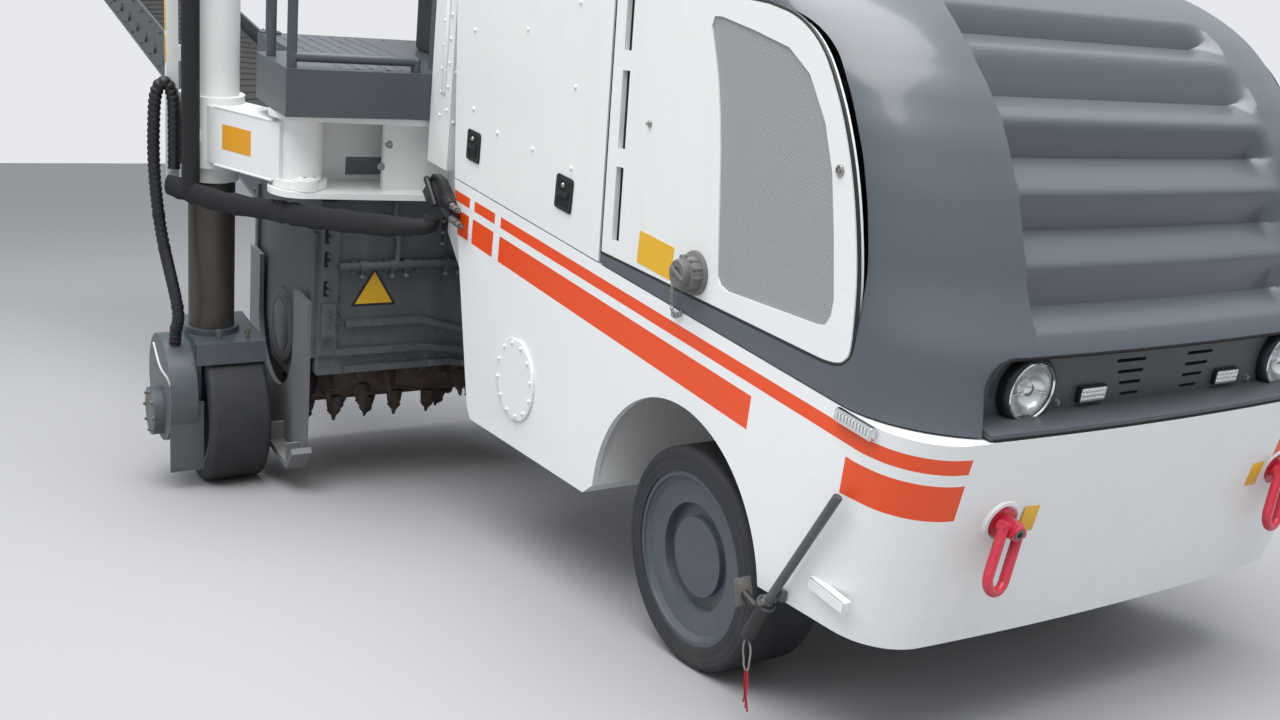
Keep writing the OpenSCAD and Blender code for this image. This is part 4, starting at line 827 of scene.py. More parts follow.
def hood_frame():
    """Top hinges, and the inner frame behind the lamps and the doors' lower edges."""
    bm = bmesh.new()
    for y in (-400, 400):
        rod(bm, (-705, y - 50, 2090), (-705, y + 50, 2090), 10, 20, 2)
        for s in (-1, 1):
            prism(bm, rounded(-720, -645, 2042, 2105, 12), "y", y + s * 32, y + s * 48, bevel=2)
    block(bm, 690, 740, -700, 700, HOOD_LOW, 1240, 6)
    for _, s in SIDES:
        block(bm, hood_seam(HOOD_LOW) + 30, 560, s * 805, s * 838, HOOD_LOW, HOOD_LOW + 30, 4)
    piece("hood_frame", bm, "hood", BLACK)


PANEL_X = 742
HEADLAMP_Y, HEADLAMP_Z = 492, 1131
HEADLAMP_R = 83
HEADLAMP_HOLE_R = 78
BOWL_DEPTH = 34
WORK_LAMP_Y, WORK_LAMP_Z = 262, 1100
# Slots beside the bare middle. Columns: height, right group's ends, left group's ends
PANEL_SLOTS = [
    (1176, -188, -80, 82, 187), (1146, -175, -80, 82, 175),
    (1116, -162, -80, 82, 163), (1086, -149, -80, 82, 151),
]
SLOT_HALF = 4.5


def lamp_panel():
    bm = bmesh.new()
    prism(bm, panel_outline(5, 1049), "x", PANEL_X - 14, PANEL_X, bevel=3)
    mesh = mesh_of(bm, "panel")
    cuts = []
    for _, s in SIDES:
        bm = bmesh.new()
        y = s * HEADLAMP_Y
        rod(bm, (650, y, HEADLAMP_Z), (900, y, HEADLAMP_Z), HEADLAMP_HOLE_R, 64)
        cuts.append(bm)
    bm = bmesh.new()
    for z, a, b, c, d in PANEL_SLOTS:
        for y0, y1 in ((a, b), (c, d)):
            prism(bm, rounded(y0, y1, z - SLOT_HALF, z + SLOT_HALF, 4.4), "x", 700, 900)
    cuts.append(bm)
    panel = carved(mesh, cuts)
    strips(panel)
    bowed(panel)
    obj = piece_of("lamp_panel_face", panel, "hood", PANEL)
    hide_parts("lamp_panel")


def panel_foot():
    """The panel's foot, which turns out to the hood's lower edge, and a black block behind it, painted shade
    for the space there.
    """
    steps = [-655 + 1310 * k / 24 for k in range(25)]
    foot = [
        (PANEL_X - 10, 1048), (PANEL_X - 10, 1072), (PANEL_X + 2, 1069), (820, 1061), (828, 1057),
        (831, 1050), (830, 1047),
    ]
    bm = bmesh.new()
    rings = [[bm.verts.new((x + bow(x, y), y, z)) for x, z in foot] for y in steps]
    for low, high in zip(rings, rings[1:]):
        for i in range(len(foot)):
            j = (i + 1) % len(foot)
            bm.faces.new((low[i], low[j], high[j], high[i]))
    bm.faces.new(rings[0])
    bm.faces.new(list(reversed(rings[-1])))
    bmesh.ops.recalc_face_normals(bm, faces=bm.faces[:])
    # painted shade: a black block fills the space behind the panel
    block(bm, 690, PANEL_X - 18, -640, 640, 1050, 1215, 3, 1)
    for y in (-372, 372):
        bolt(bm, (PANEL_X + bow(PANEL_X, y), y, 1084), AHEAD, 14, 2)
    piece("lamp_panel_foot", bm, "hood", PANEL, PAINTED_SHADE, STEEL)


def panel_trim():
    """Beads of painted shade in the gaps around the panel's opening and under the hood's lower edge."""
    inset, bow_x, sunk = 2.5, 790, 4
    top_z = PANEL_TOP_Z - inset
    line = [(face_x(z) - sunk + bow(bow_x, y), y, z) for y, z in panel_outline(inset, 1050)[1:]]
    top = [(face_x(1219) - sunk + bow(bow_x, y), y, top_z) for y in range(560, -561, -40)]
    # painted shade: black beads along the gaps
    bm = bmesh.new()
    # the straight top stands in for the last point of the first corner
    tube(bm, line[:11] + top + line[12:], 5.0, 8)
    tube(bm, [(829 + bow(829, y), y, 1044) for y in range(-640, 641, 40)], 3.0, 8)
    piece("lamp_panel_trim", bm, "hood", PAINTED_SHADE)


def headlamp(side, s):
    """Bezel, bowl, bulb shade and its two stays, then the domed glass."""
    r = HEADLAMP_R
    place = Vector((PANEL_X + bow(PANEL_X, HEADLAMP_Y), s * HEADLAMP_Y, HEADLAMP_Z))
    bezel = [
        (r - 14, -16), (r, -4), (r + 3, 8), (r + 1, 20), (r - 4, 28), (r - 10, 29), (r - 14, 24),
        (r - 15, 12), (r - 14, -16),
    ]
    rings = (66, 58, 48, 38, 28, 18)
    bowl = [(r - 14, 20)] + [(q, 16 - BOWL_DEPTH * (1 - (q / (r - 14)) ** 2)) for q in rings]
    bm = bmesh.new()
    lathe(bm, bezel, place, AHEAD, 64)
    lathe(bm, [(r - 9, 28.5), (r - 12, 31), (r - 15, 27)], place, AHEAD, 64, 2)
    lathe(bm, bowl, place, AHEAD, 64, 1)
    lathe(bm, [(18, -18), (18, -2), (15, 2), (15, 9), (9, 12), (0, 13)], place, AHEAD, 24, 2)
    for k in (-1, 1):
        rod(bm, place + Vector((2, 16 * k, -6)), place + Vector((12, 64 * k, -14)), 2.2, 8, 0, 2)
    obj = piece(f"headlamp_{side}", bm, "hood", BLACK, REFLECTOR, CHROME, angle=50)
    if side == "right":
        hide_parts("headlamps")

    glass_r = r - 12
    rings = (62, 50, 38, 24, 12)
    dome = [(glass_r, 22)] + [(q, 22 + 12 * (1 - (q / glass_r) ** 2)) for q in rings] + [(0, 34)]
    bm = bmesh.new()
    lathe(bm, dome, place, AHEAD, 64)
    piece(f"headlamp_glass_{side}", bm, "hood", GLASS)


def work_lamp(side, s):
    """A flat lamp with three rows of small lenses."""
    y, z = s * WORK_LAMP_Y, WORK_LAMP_Z
    x = PANEL_X + bow(PANEL_X, y)
    bm = bmesh.new()
    prism(bm, rounded(y - 49, y + 49, z - 21, z + 21, 6), "x", x - 1, x + 13, 0, 2)
    prism(bm, rounded(y - 44, y + 44, z - 17, z + 17, 4), "x", x + 13, x + 13.6, 1)
    for i in range(8):
        for j in range(3):
            place = (x + 13.6, y - 37 + i * 10.6, z - 11 + j * 11)
            lathe(bm, [(4.8, 0), (4.6, 1.5), (2.5, 2.8), (0, 3.2)], place, AHEAD, 10, 2)
    obj = piece(f"work_lamp_{side}", bm, "hood", BLACK, REFLECTOR, CHROME)
    if side == "right":
        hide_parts("work_lamps")


# Doors, flaps and the body's sides
LATCHES = [(-1611, 1198), (-885, 1198)]
DOOR_SLOTS = [(1132, 1360), (1408, 1640), (1692, 1862)]
RIVETS = [
    (-1674, 1607), (-1245, 1666), (-897, 1793), (-880, 1539), (-1422, 1286), (-1138, 1288), (-857, 1287),
    (-1640, 1330),
]
ROUND_COVER = (-1114, 470)
ROUND_COVER_BOLTS_R = 132


def door_slot(z0, z1, inset, rise):
    """A slot that leans with the seam; rise slants its ends, or lengthens it where negative."""
    near, far = 68 - inset, 110 + inset
    ends = (z0 - inset * 1.5, z1 + inset * 1.5)
    return [
        (hood_seam(z0) + near, ends[0]), (hood_seam(z0) + far, ends[0] + rise),
        (hood_seam(z1) + far, ends[1]), (hood_seam(z1) + near, ends[1] - rise),
    ]


def door_seal(side, s):
    """A rubber bead around the door's opening."""
    seal = [Vector((x, s * (SIDE - 5), z)) for x, z in grown(DOOR, 3.5)]
    line = []
    for p, q in zip(seal, seal[1:] + seal[:1]):
        steps = max(1, int((q - p).length / 60))
        line += [p.lerp(q, k / steps) for k in range(steps)]
    bm = bmesh.new()
    tube(bm, line, 5.0, 8, closed=True)
    piece(f"door_seal_{side}", bm, "hood", BLACK)


def door_panel(side, s):
    """The door with a recess for its grille and three slots, and the grille in it."""
    bm = bmesh.new()
    prism(bm, DOOR, "y", s * (SIDE - 24), s * SIDE, 0, 2.5)
    bmesh.ops.recalc_face_normals(bm, faces=bm.faces[:])
    mesh = mesh_of(bm, "door")
    recess = bmesh.new()
    prism(recess, grown(GRILLE_OUTLINE, 4), "y", s * (SIDE - 9), s * (SIDE + 20))
    slots = bmesh.new()
    for z0, z1 in DOOR_SLOTS:
        prism(slots, door_slot(z0, z1, 0, 5), "y", s * (SIDE - 20), s * (SIDE + 20))
    obj = piece_of(f"door_panel_{side}", carved(mesh, [recess, slots]), f"door_{side}", WHITE_PLAIN)
    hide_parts(f"door_{side}")

    bm = bmesh.new()
    prism(bm, grown(GRILLE_OUTLINE, 3), "y", s * (SIDE - 8.5), s * (SIDE - 4.5))
    obj = piece(f"door_mesh_{side}", bm, f"door_{side}", GRILLE)
    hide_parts(f"door_grille_{side}")


def door_fittings(side, s):
    """Painted shade at the backs of the slots, two locks and the blank sticker."""
    y, out = s * SIDE, (0, s, 0)
    bm = bmesh.new()
    # painted shade: black plates deep in the slots
    for z0, z1 in DOOR_SLOTS:
        prism(bm, door_slot(z0, z1, 2, 0), "y", s * (SIDE - 22), s * (SIDE - 17), 1)
    lathe(bm, [(11, 0), (11, 3), (8, 6), (4, 7), (4, 13), (0, 14)], (-418, y, 1514), out, 18, 2)
    lathe(bm, [(14, 0), (14, 4), (11, 6), (10, 3), (5, 3), (5, 5), (0, 5)], (427, y, 1571), out, 20, 2)
    prism(bm, rounded(-403, -214, 1110, 1206, 4), "y", y, y + s * 0.9, 3)
    piece(f"door_fittings_{side}", bm, f"door_{side}", WHITE_PLAIN, PAINTED_SHADE, STEEL, YELLOW)


def flap_fittings(side, s):
    """Latches and rivets of the rear cover's flap."""
    y, out = s * SIDE, (0, s, 0)
    bm = bmesh.new()
    for x, z in LATCHES:
        prism(bm, rounded(x - 57, x + 57, z - 56, z + 56, 12), "y", y, y + s * 6, 0, 2)
        # painted shade: a black sheet in the latch's pocket
        prism(bm, rounded(x - 41, x + 41, z - 42, z + 42, 8), "y", y + s * 6, y + s * 6.6, 1)
        prism(bm, rounded(x - 38, x + 38, z - 12, z + 10, 6), "y", y + s * 2, y + s * 10, 0, 2)
        rivet(bm, (x, y + s * 8, z + 27), out, 9, 2)
    for x, z in RIVETS:
        rivet(bm, (x, y, z), out, 8, 3)
    piece(f"flap_fittings_{side}", bm, f"flap_{side}", BLACK, PAINTED_SHADE, STEEL, WHITE_PLAIN)


def side_fittings(side, s):
    """The marker lamp on the waist, the strip low on the nose and the round cover's bolts."""
    y, out = s * SIDE, (0, s, 0)
    bm = bmesh.new()
    prism(bm, rounded(566, 702, 1008, 1041, 6), "y", y + s, y + s * 16, 0, 2)
    for i in range(11):
        x = 573 + i * 11.5
        block(bm, x, x + 8, y + s * 16, y + s * 18, 1014, 1036, 1, 1)
    prism(bm, rounded(568, 704, 556, 588, 4), "y", y - s * 22, y + s * 3, 2, 2)
    x, z = ROUND_COVER
    screw_ring(bm, (x, y + s * 8, z), out, ROUND_COVER_BOLTS_R, 12, 12, 2, 15)
    piece(f"side_fittings_{side}", bm, "chassis", CHROME, LABEL, WHITE_PLAIN)


NOSE_X = 807.6
NOSE_LEAN = math.atan(63 / 570)
RING_SEAT_X, RING_SEAT_Y, RING_SEAT_Z = 808.684, 538, 820
RING_TURN = math.radians(-25)


def nose_stickers():
    bm = bmesh.new()
    for y0, y1 in ((-478, -396), (392, 462)):
        middle = (y0 + y1) / 2
        x = NOSE_X + bow(808, middle)
        skew = math.degrees(math.atan(-2 * BOW * middle / SIDE ** 2))
        block(bm, x, x + 1.6, y0, y1, 778, 850, 0.3, 0, (0, math.degrees(NOSE_LEAN), skew))
    piece("nose_stickers", bm, "chassis", YELLOW)


def ring_fittings(side, s):
    """The lifting boss's bolt head and four screws, and the white pad under it."""
    turn = Matrix.Rotation(NOSE_LEAN, 4, "Y") @ Matrix.Rotation(RING_TURN, 4, "X")
    base = Vector((RING_SEAT_X, s * RING_SEAT_Y, RING_SEAT_Z))
    n = turn @ Vector(AHEAD)
    tip = base + n * 83
    bm = bmesh.new()
    rod(bm, tip - n * 0.5, tip + n * 1.5, 15, 24, 0.5, 1)
    # painted shade: a black hexagon for the socket in the bolt head
    rod(bm, tip + n * 1.0, tip + n * 2.0, 8, 6, 0, 2)
    for a in range(4):
        v = turn @ Matrix.Rotation(math.radians(45 + 90 * a), 4, "X") @ Vector((0, 37, 0))
        lathe(bm, [(3.4, 0), (3.4, 1), (0, 1.6)], base + n * 30 + v * 0.92, n, 10, 1)
    piece(f"ring_bolt_{side}", bm, f"lift_boss_{side}", RED, WORN, PAINTED_SHADE)
    bm = bmesh.new()
    lathe(bm, [(62, -12), (60, 20), (54, 27), (46, 28), (46, -12)], base, n, 56)
    piece(f"ring_pad_{side}", bm, "chassis", WHITE_PLAIN)


def fuel_cap():
    """The ribbed cap with its handle and a chain of small rings."""
    x, y, z = -97, -SIDE, 1168
    place, out = Vector((x, y, z)), (0, -1, 0)
    profile = [
        (62, 0), (62, 6), (57, 10), (50, 12), (50, 34), (46, 40), (40, 42), (40, 58), (36, 62), (20, 62),
        (17, 58), (10, 57), (0, 57),
    ]
    bm = bmesh.new()
    lathe(bm, profile, place, out, 56)
    ribs = circle(place, Vector((47, 0, 0)), Vector((0, 0, 47)), 12)
    for p in ribs:
        rod(bm, p + Vector((0, -12, 0)), p + Vector((0, -40, 0)), 6.5, 10, 1.5)
    block(bm, x - 34, x + 34, y - 66, y - 56, z - 7, z + 7, 3, 0, (0, 20, 0))
    chain = smooth([(-150, -900, 1140), (-170, -884, 1085), (-160, -878, 1030), (-130, -872, 1040)], 10)
    for i, p in enumerate(chain[::2]):
        turn = Matrix.Rotation(math.pi / 2 * (i % 2), 4, "Z")
        tube(bm, circle(p, turn @ Vector((0, 5, 0)), turn @ Vector((0, 0, 8)), 10), 1.5, 6, 1, closed=True)
    obj = piece("fuel_cap_body", bm, "door_right", CAP, STEEL)
    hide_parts("fuel_cap")


FRONT_WHEEL_Y = 704
HUB_PROFILE = [
    (126, -34), (126, -6), (120, -1), (112, 1), (108, -4), (100, -4), (97, 1), (62, 2), (60, 5), (0, 5),
]


def front_wheel(side, s):
    """Hub cover, studs and rim lip on the wheel's outer side, and the tyre's two lines."""
    name = f"wheel_front_{side}"
    out = Vector((0, s, 0))
    centre = Vector((0, s * FRONT_WHEEL_Y, TYRE_R))
    hub = centre + out * 70
    bm = bmesh.new()
    lathe(bm, HUB_PROFILE, hub, out, 64)
    for a in (75, 195, 315):
        lathe(bm, [(12, -4), (12, 5), (9, 7), (4.5, 7), (4.5, 2), (0, 2)], around(hub, 104, a), out, 18)
    for i in range(10):
        bolt(bm, around(hub, 143, 36 * i) - out * 26, out, 26)
    # painted shade: two small holes in the disc are black inside
    for a in (30, 210):
        lathe(bm, [(9, 0), (9, 2), (6, 2.2), (6, 1), (0, 1)], around(hub, 205, a) - out * 30, out, 16, 1)
    lathe(bm, [(236, 46), (243, 50), (251, 50), (257, 55), (259, 58)], centre + out * 62, out, 96)
    piece(f"{name}_hub", bm, name, RIM, PAINTED_SHADE)
    bm = bmesh.new()
    for r, thick in ((276, 0.8), (300, 1.0)):
        line = circle(centre + out * 125, Vector((r, 0, 0)), Vector((0, 0, r)), 96)
        tube(bm, line, thick, 6, closed=True)
    piece(f"{name}_lines", bm, name, TYRE)


# Milling housing, frame and swing arm
DRUM_Y, DRUM_Z = -700, 150
HOUSING_FRONT_X = -2240
HOUSING_SIDE_Y = -1225
CAP_LIFT = 9
SPRAY_X, SPRAY_Z = -2214, 570
SPRAY_SOCKETS_Y = (-1070, -940, -880, -700, -640)


def bearing_cap(bm):
    """The housing's round end plate with its bolts."""
    place, out = (-WHEEL_BASE, HOUSING_SIDE_Y, DRUM_Z), Vector((0, -1, 0))
    plate = [(120, CAP_LIFT), (168, CAP_LIFT), (168, 12), (165, 13.5), (126, 13.5), (120, 12)]
    lathe(bm, plate, place, out, 72)
    screw_ring(bm, (-WHEEL_BASE, HOUSING_SIDE_Y - CAP_LIFT, DRUM_Z), out, 146, 14, 8)
    lid = [(116, CAP_LIFT), (116, 12.5), (108, 14), (60, 14), (57, 14.5), (0, 14.5)]
    lathe(bm, lid, place, out, 64, 1)


def corner_strip(bm):
    """Three slots with their bolts, then the guide block's bolts."""
    for z in (700, 600, 475):
        for dz in (-16, 16):
            bolt(bm, (-2226, -1190, z + dz), AHEAD, 18)
        # painted shade: each slot is a thin black plate
        prism(bm, rounded(-1213, -1193, z - 34, z + 34, 9), "x", -2226, -2225, 2)
    for z in (290, 330, 370, 395):
        bolt(bm, (-2196, -1192, z), AHEAD, 14)
    for z in (180, 230, 300, 360, 430):
        bolt(bm, (HOUSING_FRONT_X, -1138, z), AHEAD, 15)


def spray_pipe(bm):
    """Sockets and nozzles along the pipe, and its riser."""
    for y in SPRAY_SOCKETS_Y:
        rod(bm, (SPRAY_X, y, SPRAY_Z), (SPRAY_X, y + 34, SPRAY_Z), 23, 20, 3)
        rod(bm, (SPRAY_X, y + 17, SPRAY_Z), (SPRAY_X, y + 17, SPRAY_Z - 40), 9, 12, 1)
        lathe(bm, [(13, 0), (13, 14), (9, 18), (0, 18)], (SPRAY_X, y + 17, SPRAY_Z - 36), (0, 0, -1), 14, 3)
    riser = [(SPRAY_X, -905, 575), (-2212, -905, 680), (-2190, -930, 770), (-2180, -930, 850)]
    tube(bm, smooth(riser, 8), 12, 12)


def housing_fittings():
    bm = bmesh.new()
    bearing_cap(bm)
    corner_strip(bm)
    spray_pipe(bm)
    piece("housing_fittings", bm, "chassis", HOUSING, GREY, PAINTED_SHADE, WORN)


def housing_sign():
    """A blank triangle with a dark border."""
    x = HOUSING_FRONT_X
    bm = bmesh.new()
    prism(bm, [(-1090, 388), (-893, 388), (-992, 556)], "x", x, x + 1.4, 1)
    prism(bm, [(-1073, 398), (-910, 398), (-992, 536)], "x", x + 1.4, x + 2.0)
    piece("housing_sign", bm, "chassis", YELLOW, BLACK)


def frame_fittings():
    """Bolts, rivets and a rib on the white frame behind the body."""
    bm = bmesh.new()
    bolt(bm, (-1640, -701, 360), (0, -1, 0), 34, 1)
    lathe(bm, [(30, 0), (30, 5), (18, 7), (0, 7)], (-1640, -700, 360), (0, -1, 0), 28)
    for z in (1230, 1420, 1610, 1800):
        for y in (-830, -760):
            rivet(bm, (-1899, y, z), AHEAD, 8)
    for z in range(1240, 1960, 90):
        rivet(bm, (-2000, -846, z), (0, -1, 0), 7)
        rivet(bm, (-1935, -846, z + 30), (0, -1, 0), 7)
    block(bm, -1985, -1955, -853, -845, 1330, 1700, 3)
    for x, y, z in ((-2160, -1010, 1000), (-2150, -985, 1090)):
        bolt(bm, (x, y - 1, z), (0.4, -1, 0), 26, 1)
    piece("frame_fittings", bm, "chassis", WHITE_PLAIN, STEEL)


def coupler_strip():
    """The rubber strip behind the hose coupler."""
    bm = bmesh.new()
    block(bm, -1846, -1796, -874, -866, 750, 880, 3)
    for z in (770, 815, 860):
        bolt(bm, (-1821, -874, z), (0, -1, 0), 12, 1)
    piece("coupler_strip", bm, "chassis", BLACK, STEEL)


PIVOT_X, PIVOT_Y = -2300, -1300
ARM_HALF = 100


def arm_frame():
    """The arm's pivot on the floor plan, its direction and the way out of its outer side."""
    along = Vector((-WHEEL_BASE - PIVOT_X, COLUMN_Y - PIVOT_Y, 0))
    along = along / math.hypot(along.x, along.y)
    out = Vector((along.y, -along.x, 0))
    if out.x < 0:
        out = -out
    return Vector((PIVOT_X, PIVOT_Y, 0)), along, out


def on_arm(t, z, lift=0.0):
    """A point on the arm's outer side, t from the pivot."""
    base, along, out = arm_frame()
    return base + along * t + out * (ARM_HALF + lift) + Vector((0, 0, z))


def arm_sticker():
    corners = [(170, 985), (330, 985), (330, 1085), (170, 1085)]
    bm = bmesh.new()
    low = [bm.verts.new(on_arm(t, z, 0.3)) for t, z in corners]
    high = [bm.verts.new(on_arm(t, z, 1.4)) for t, z in corners]
    made = [bm.faces.new(low), bm.faces.new(list(reversed(high)))]
    for i in range(4):
        made.append(bm.faces.new((low[i], low[(i + 1) % 4], high[(i + 1) % 4], high[i])))
    bmesh.ops.recalc_face_normals(bm, faces=made)
    piece("arm_sticker", bm, "swing_arm", AMBER)


def arm_fittings():
    """Beads along the arm's edges, and the pivot's caps and collars."""
    out = arm_frame()[2]
    pivot = Vector((PIVOT_X, PIVOT_Y, 0))
    bm = bmesh.new()
    for z in (912, 1148):
        for k in range(26):
            lathe(bm, [(6, -4), (6, 0), (3.5, 3), (0, 4)], on_arm(60 + k * 12.5, z, 1), out, 8)
    screw_ring(bm, (-2230, -1290, 935), UP, 34, 5, 16, 1)
    lathe(bm, [(50, 0), (50, 6), (42, 9), (0, 9)], (-2230, -1290, 935), UP, 40)
    lathe(bm, [(46, 0), (46, 10), (40, 14), (0, 14)], pivot + Vector((0, 0, 1195)), UP, 48)
    for z in (892, 1171):
        lathe(bm, [(92, 0), (92, 3), (88, 5)], pivot + Vector((0, 0, z)), UP, 64)
    piece("arm_fittings", bm, "swing_arm", WHITE_PLAIN, STEEL)


def post_fittings():
    """Blank yellow labels and two pipe unions on the post beside the leg's sleeve."""
    y = COLUMN_Y - 180
    bm = bmesh.new()
    for z0, z1 in ((1290, 1400), (1415, 1530)):
        block(bm, -2760, -2732, y - 1.2, y, z0, z1, 0.3)
    piece("post_labels", bm, "leg_sleeve_right", YELLOW)
    bm = bmesh.new()
    for z in (900, 975):
        p = Vector((-2713, -1690, z))
        rod(bm, p, p + Vector((0, 0, 60)), 13, 6, 2)
        rod(bm, p + Vector((0, 0, 12)), p + Vector((0, 0, 46)), 16, 20, 3)
    piece("post_unions", bm, "leg_sleeve_right", STEEL)


# Hoses
SLEEVE_R = 40
WOBBLE_STEP = 30
WOBBLES = [random.uniform(-1, 1) for _ in range(64)]
COLUMN_TURN = math.radians(-42)
COLUMN_HOSE_R = 174
COLUMN_TOP_Z = 1762
MOTOR_HOSE_SLANT = math.radians(18.35)


def sag(s):
    """The sleeve's radius, which wanders along its length."""
    i = int(s / WOBBLE_STEP) % 63
    f = s / WOBBLE_STEP - int(s / WOBBLE_STEP)
    return SLEEVE_R + 3.5 * (WOBBLES[i] * (1 - f) + WOBBLES[i + 1] * f)


def sleeve_flat(s):
    """The sleeve flattens as it leaves the coupler."""
    k = min(1.0, max(0.0, (s - 40) / 200))
    return 0.78 + 0.34 * k, 1.0 - 0.42 * k


def ribbed(pitch, depth, r):
    def radius(s):
        return r - depth * (0.5 - 0.5 * math.cos(2 * math.pi * s / pitch)) ** 2

    return radius


def cross_sleeve():
    """From the coupler to the swing arm's pivot."""
    route = [
        (-1846, -915, 872), (-1850, -930, 835), (-1940, -1035, 812), (-2080, -1220, 805), (-2190, -1330, 798),
        (-2300, -1400, 790),
    ]
    bm = bmesh.new()
    tube(bm, smooth(route, 14), sag, 28, 0, flat=sleeve_flat)
    obj = piece("cross_sleeve", bm, None, HOSE, angle=60)
    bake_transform(obj)
    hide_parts("cross_hose")


def column_sleeve():
    """On from the pivot to the column, up it and over its top."""
    route = [
        (-2296, -1396, 790), (-2400, -1480, 782), (-2500, -1570, 782), (-2590, -1640, 790),
        (-2660, -1700, 800), (-2700, -1722, 802),
    ]
    out = Vector((math.cos(COLUMN_TURN), math.sin(COLUMN_TURN), 0))
    column = Vector((-WHEEL_BASE, COLUMN_Y, 0))
    heights = (800, 860, 920, 1000, 1150, 1300, 1450, 1600, 1720, COLUMN_TOP_Z)
    up = [column + out * (COLUMN_HOSE_R - 6) + Vector((0, 0, z)) for z in heights]
    half = COLUMN_HOSE_R / 2
    arch = [
        column + out * (half + half * math.cos(t)) + Vector((0, 0, COLUMN_TOP_Z + 84 * math.sin(t)))
        for t in (math.pi * k / 10 for k in range(1, 11))
    ]
    bm = bmesh.new()
    tube(bm, smooth(route, 12), lambda s: sag(s + 200), 28, 0, flat=lambda s: (1.12, 0.56))
    tube(bm, smooth(up + arch, 6), lambda s: 33 + 0.06 * sag(s), 26)
    obj = piece("column_sleeve", bm, "swing_arm", HOSE, angle=60)
    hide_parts("leg_hoses")


def motor_hose():
    """The ribbed hose, up beside the post, over and down to the wheel motor, with four clamps."""
    motor = Vector((-WHEEL_BASE, -1708, REAR_WHEEL_Z + 110))
    slant = Vector((math.sin(MOTOR_HOSE_SLANT), 0, math.cos(MOTOR_HOSE_SLANT)))
    route = [
        (-2700, -1700, 870), (-2699, -1699, 1030), (-2698, -1702, 1150), (-2699, -1722, 1210),
        (-2704, -1748, 1212), (-2714, -1767, 1160), (-2728, -1772, 1050), (-2736, -1772, 900),
        (-2728, -1764, 740), (-2706, -1745, 560),
    ] + [motor + slant * k for k in (420, 300, 236)]
    path = smooth(route, 26)
    bm = bmesh.new()
    tube(bm, path, ribbed(24.0, 4.0, 25.5), 18)
    for share in (0.70, 0.76, 0.83, 0.9):
        i = int(len(path) * share)
        n = (path[i + 1] - path[i]).normalized()
        rod(bm, path[i] - n * 3, path[i] + n * 3, 27, 20, 1, 1)
    obj = piece("motor_hose_ribbed", bm, None, RUBBER, BLACK, angle=60)
    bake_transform(obj)
    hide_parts("motor_hose")


def coupler():
    """The angled body, a short hose over it and two unions that reach out over the stripes."""
    body = [
        (-1990, 940), (-1900, 1030), (-1830, 1025), (-1760, 985), (-1690, 930), (-1690, 890), (-1760, 900),
        (-1850, 905), (-1930, 900),
    ]
    bm = bmesh.new()
    prism(bm, body, "y", -906, -866, 0, 5)
    over = [(-1930, -895, 985), (-1900, -925, 1010), (-1850, -930, 985), (-1800, -925, 930)]
    tube(bm, smooth(over, 8), 12, 12)
    for z, end_x in ((955, -1640), (905, -1600)):
        tube(bm, smooth([(-1780, -892, z + 12), (-1730, -900, z + 6), (-1695, -900, z)], 6), 18)
        rod(bm, (-1700, -900, z), (end_x - 34, -900, z - 4), 15, 6, 2, 1)
        rod(bm, (end_x - 36, -900, z - 4), (end_x, -900, z - 6), 12, 18, 2, 1)
        rod(bm, (end_x, -900, z - 6), (end_x + 14, -900, z - 7), 8, 14, 2, 1)
    obj = piece("coupler_body", bm, "chassis", BLACK, STEEL)
    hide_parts("hose_coupler")


# Sighting rod
ROD_Y = -893
ROD_TOP, ROD_MIDDLE, ROD_LOW = Vector((645, ROD_Y, 846)), Vector((445, ROD_Y, 430)), Vector((404, ROD_Y, 325))
HOOK_LOOP = [
    (0, 0), (-9, 10), (-17, 26), (-17, 44), (-13, 64), (-11, 82), (-5, 92), (5, 92), (11, 82), (12, 64),
    (16, 44), (14, 24), (8, 8),
]
# Strands of the ribbon. Columns: lean, length
RIBBON = [(-4, 120), (2, 112), (7, 98), (-8, 84)]


def sighting_rod():
    """The rod in its sleeve, with the sighting plate and its holder."""
    n = (ROD_TOP - ROD_LOW).normalized()
    mid = ROD_MIDDLE
    bm = bmesh.new()
    rod(bm, mid, ROD_TOP, 12, 20, 3)
    rod(bm, ROD_LOW, mid + n * 22, 21, 24, 3, 1)
    rod(bm, mid + n * 10, mid + n * 30, 27, 24, 4, 1)
    rod(bm, mid + n * 24, mid + n * 44, 17, 20, 3)
    rod(bm, mid + Vector((14, 26, 30)), mid + Vector((14, -26, 30)), 9, 16, 2, 2)
    block(bm, 470, 500, -884, -865.3, 476, 506, 3)
    block(bm, 352, 362, -918, -866, 395, 470, 3, 2, (0, -24, 0))
    rod(bm, (360, ROD_Y, 430), (420, ROD_Y, 420), 12, 16, 2, 1)
    piece_obj = piece("sighting_rod", bm, "chassis", GREY, BLACK, WORN)
    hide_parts("pointer_rod")


def rod_hook():
    """A spring hook and a ribbon, which hang plumb along the floor's down direction."""
    down = Vector((math.sin(NOSE_DOWN), 0, -math.cos(NOSE_DOWN)))
    side = Vector((down.z, 0, -down.x))
    p = ROD_LOW - (ROD_TOP - ROD_LOW).normalized() * 4
    width = Vector((0, 3.2, 0))
    bm = bmesh.new()
    tube(bm, [p + side * u + down * v for u, v in HOOK_LOOP], 2.8, 8, closed=True)
    for k, (lean, length) in enumerate(RIBBON):
        start = p + down * 88 + side * (k - 1.5) * 2
        line = []
        for i in range(7):
            wave = Vector((0, 2.5 * math.sin(i * 1.3 + k), 0))
            line.append(start + down * (length * i / 6) + side * (lean * i / 6) + wave)
        for q, r in zip(line, line[1:]):
            corners = [bm.verts.new(v) for v in (q - width, q + width, r + width, r - width)]
            bm.faces.new(corners).material_index = 1
    piece("rod_hook", bm, "chassis", STEEL, RED)


REAR_WHEEL_Y = {"right": -1482, "left": 820}


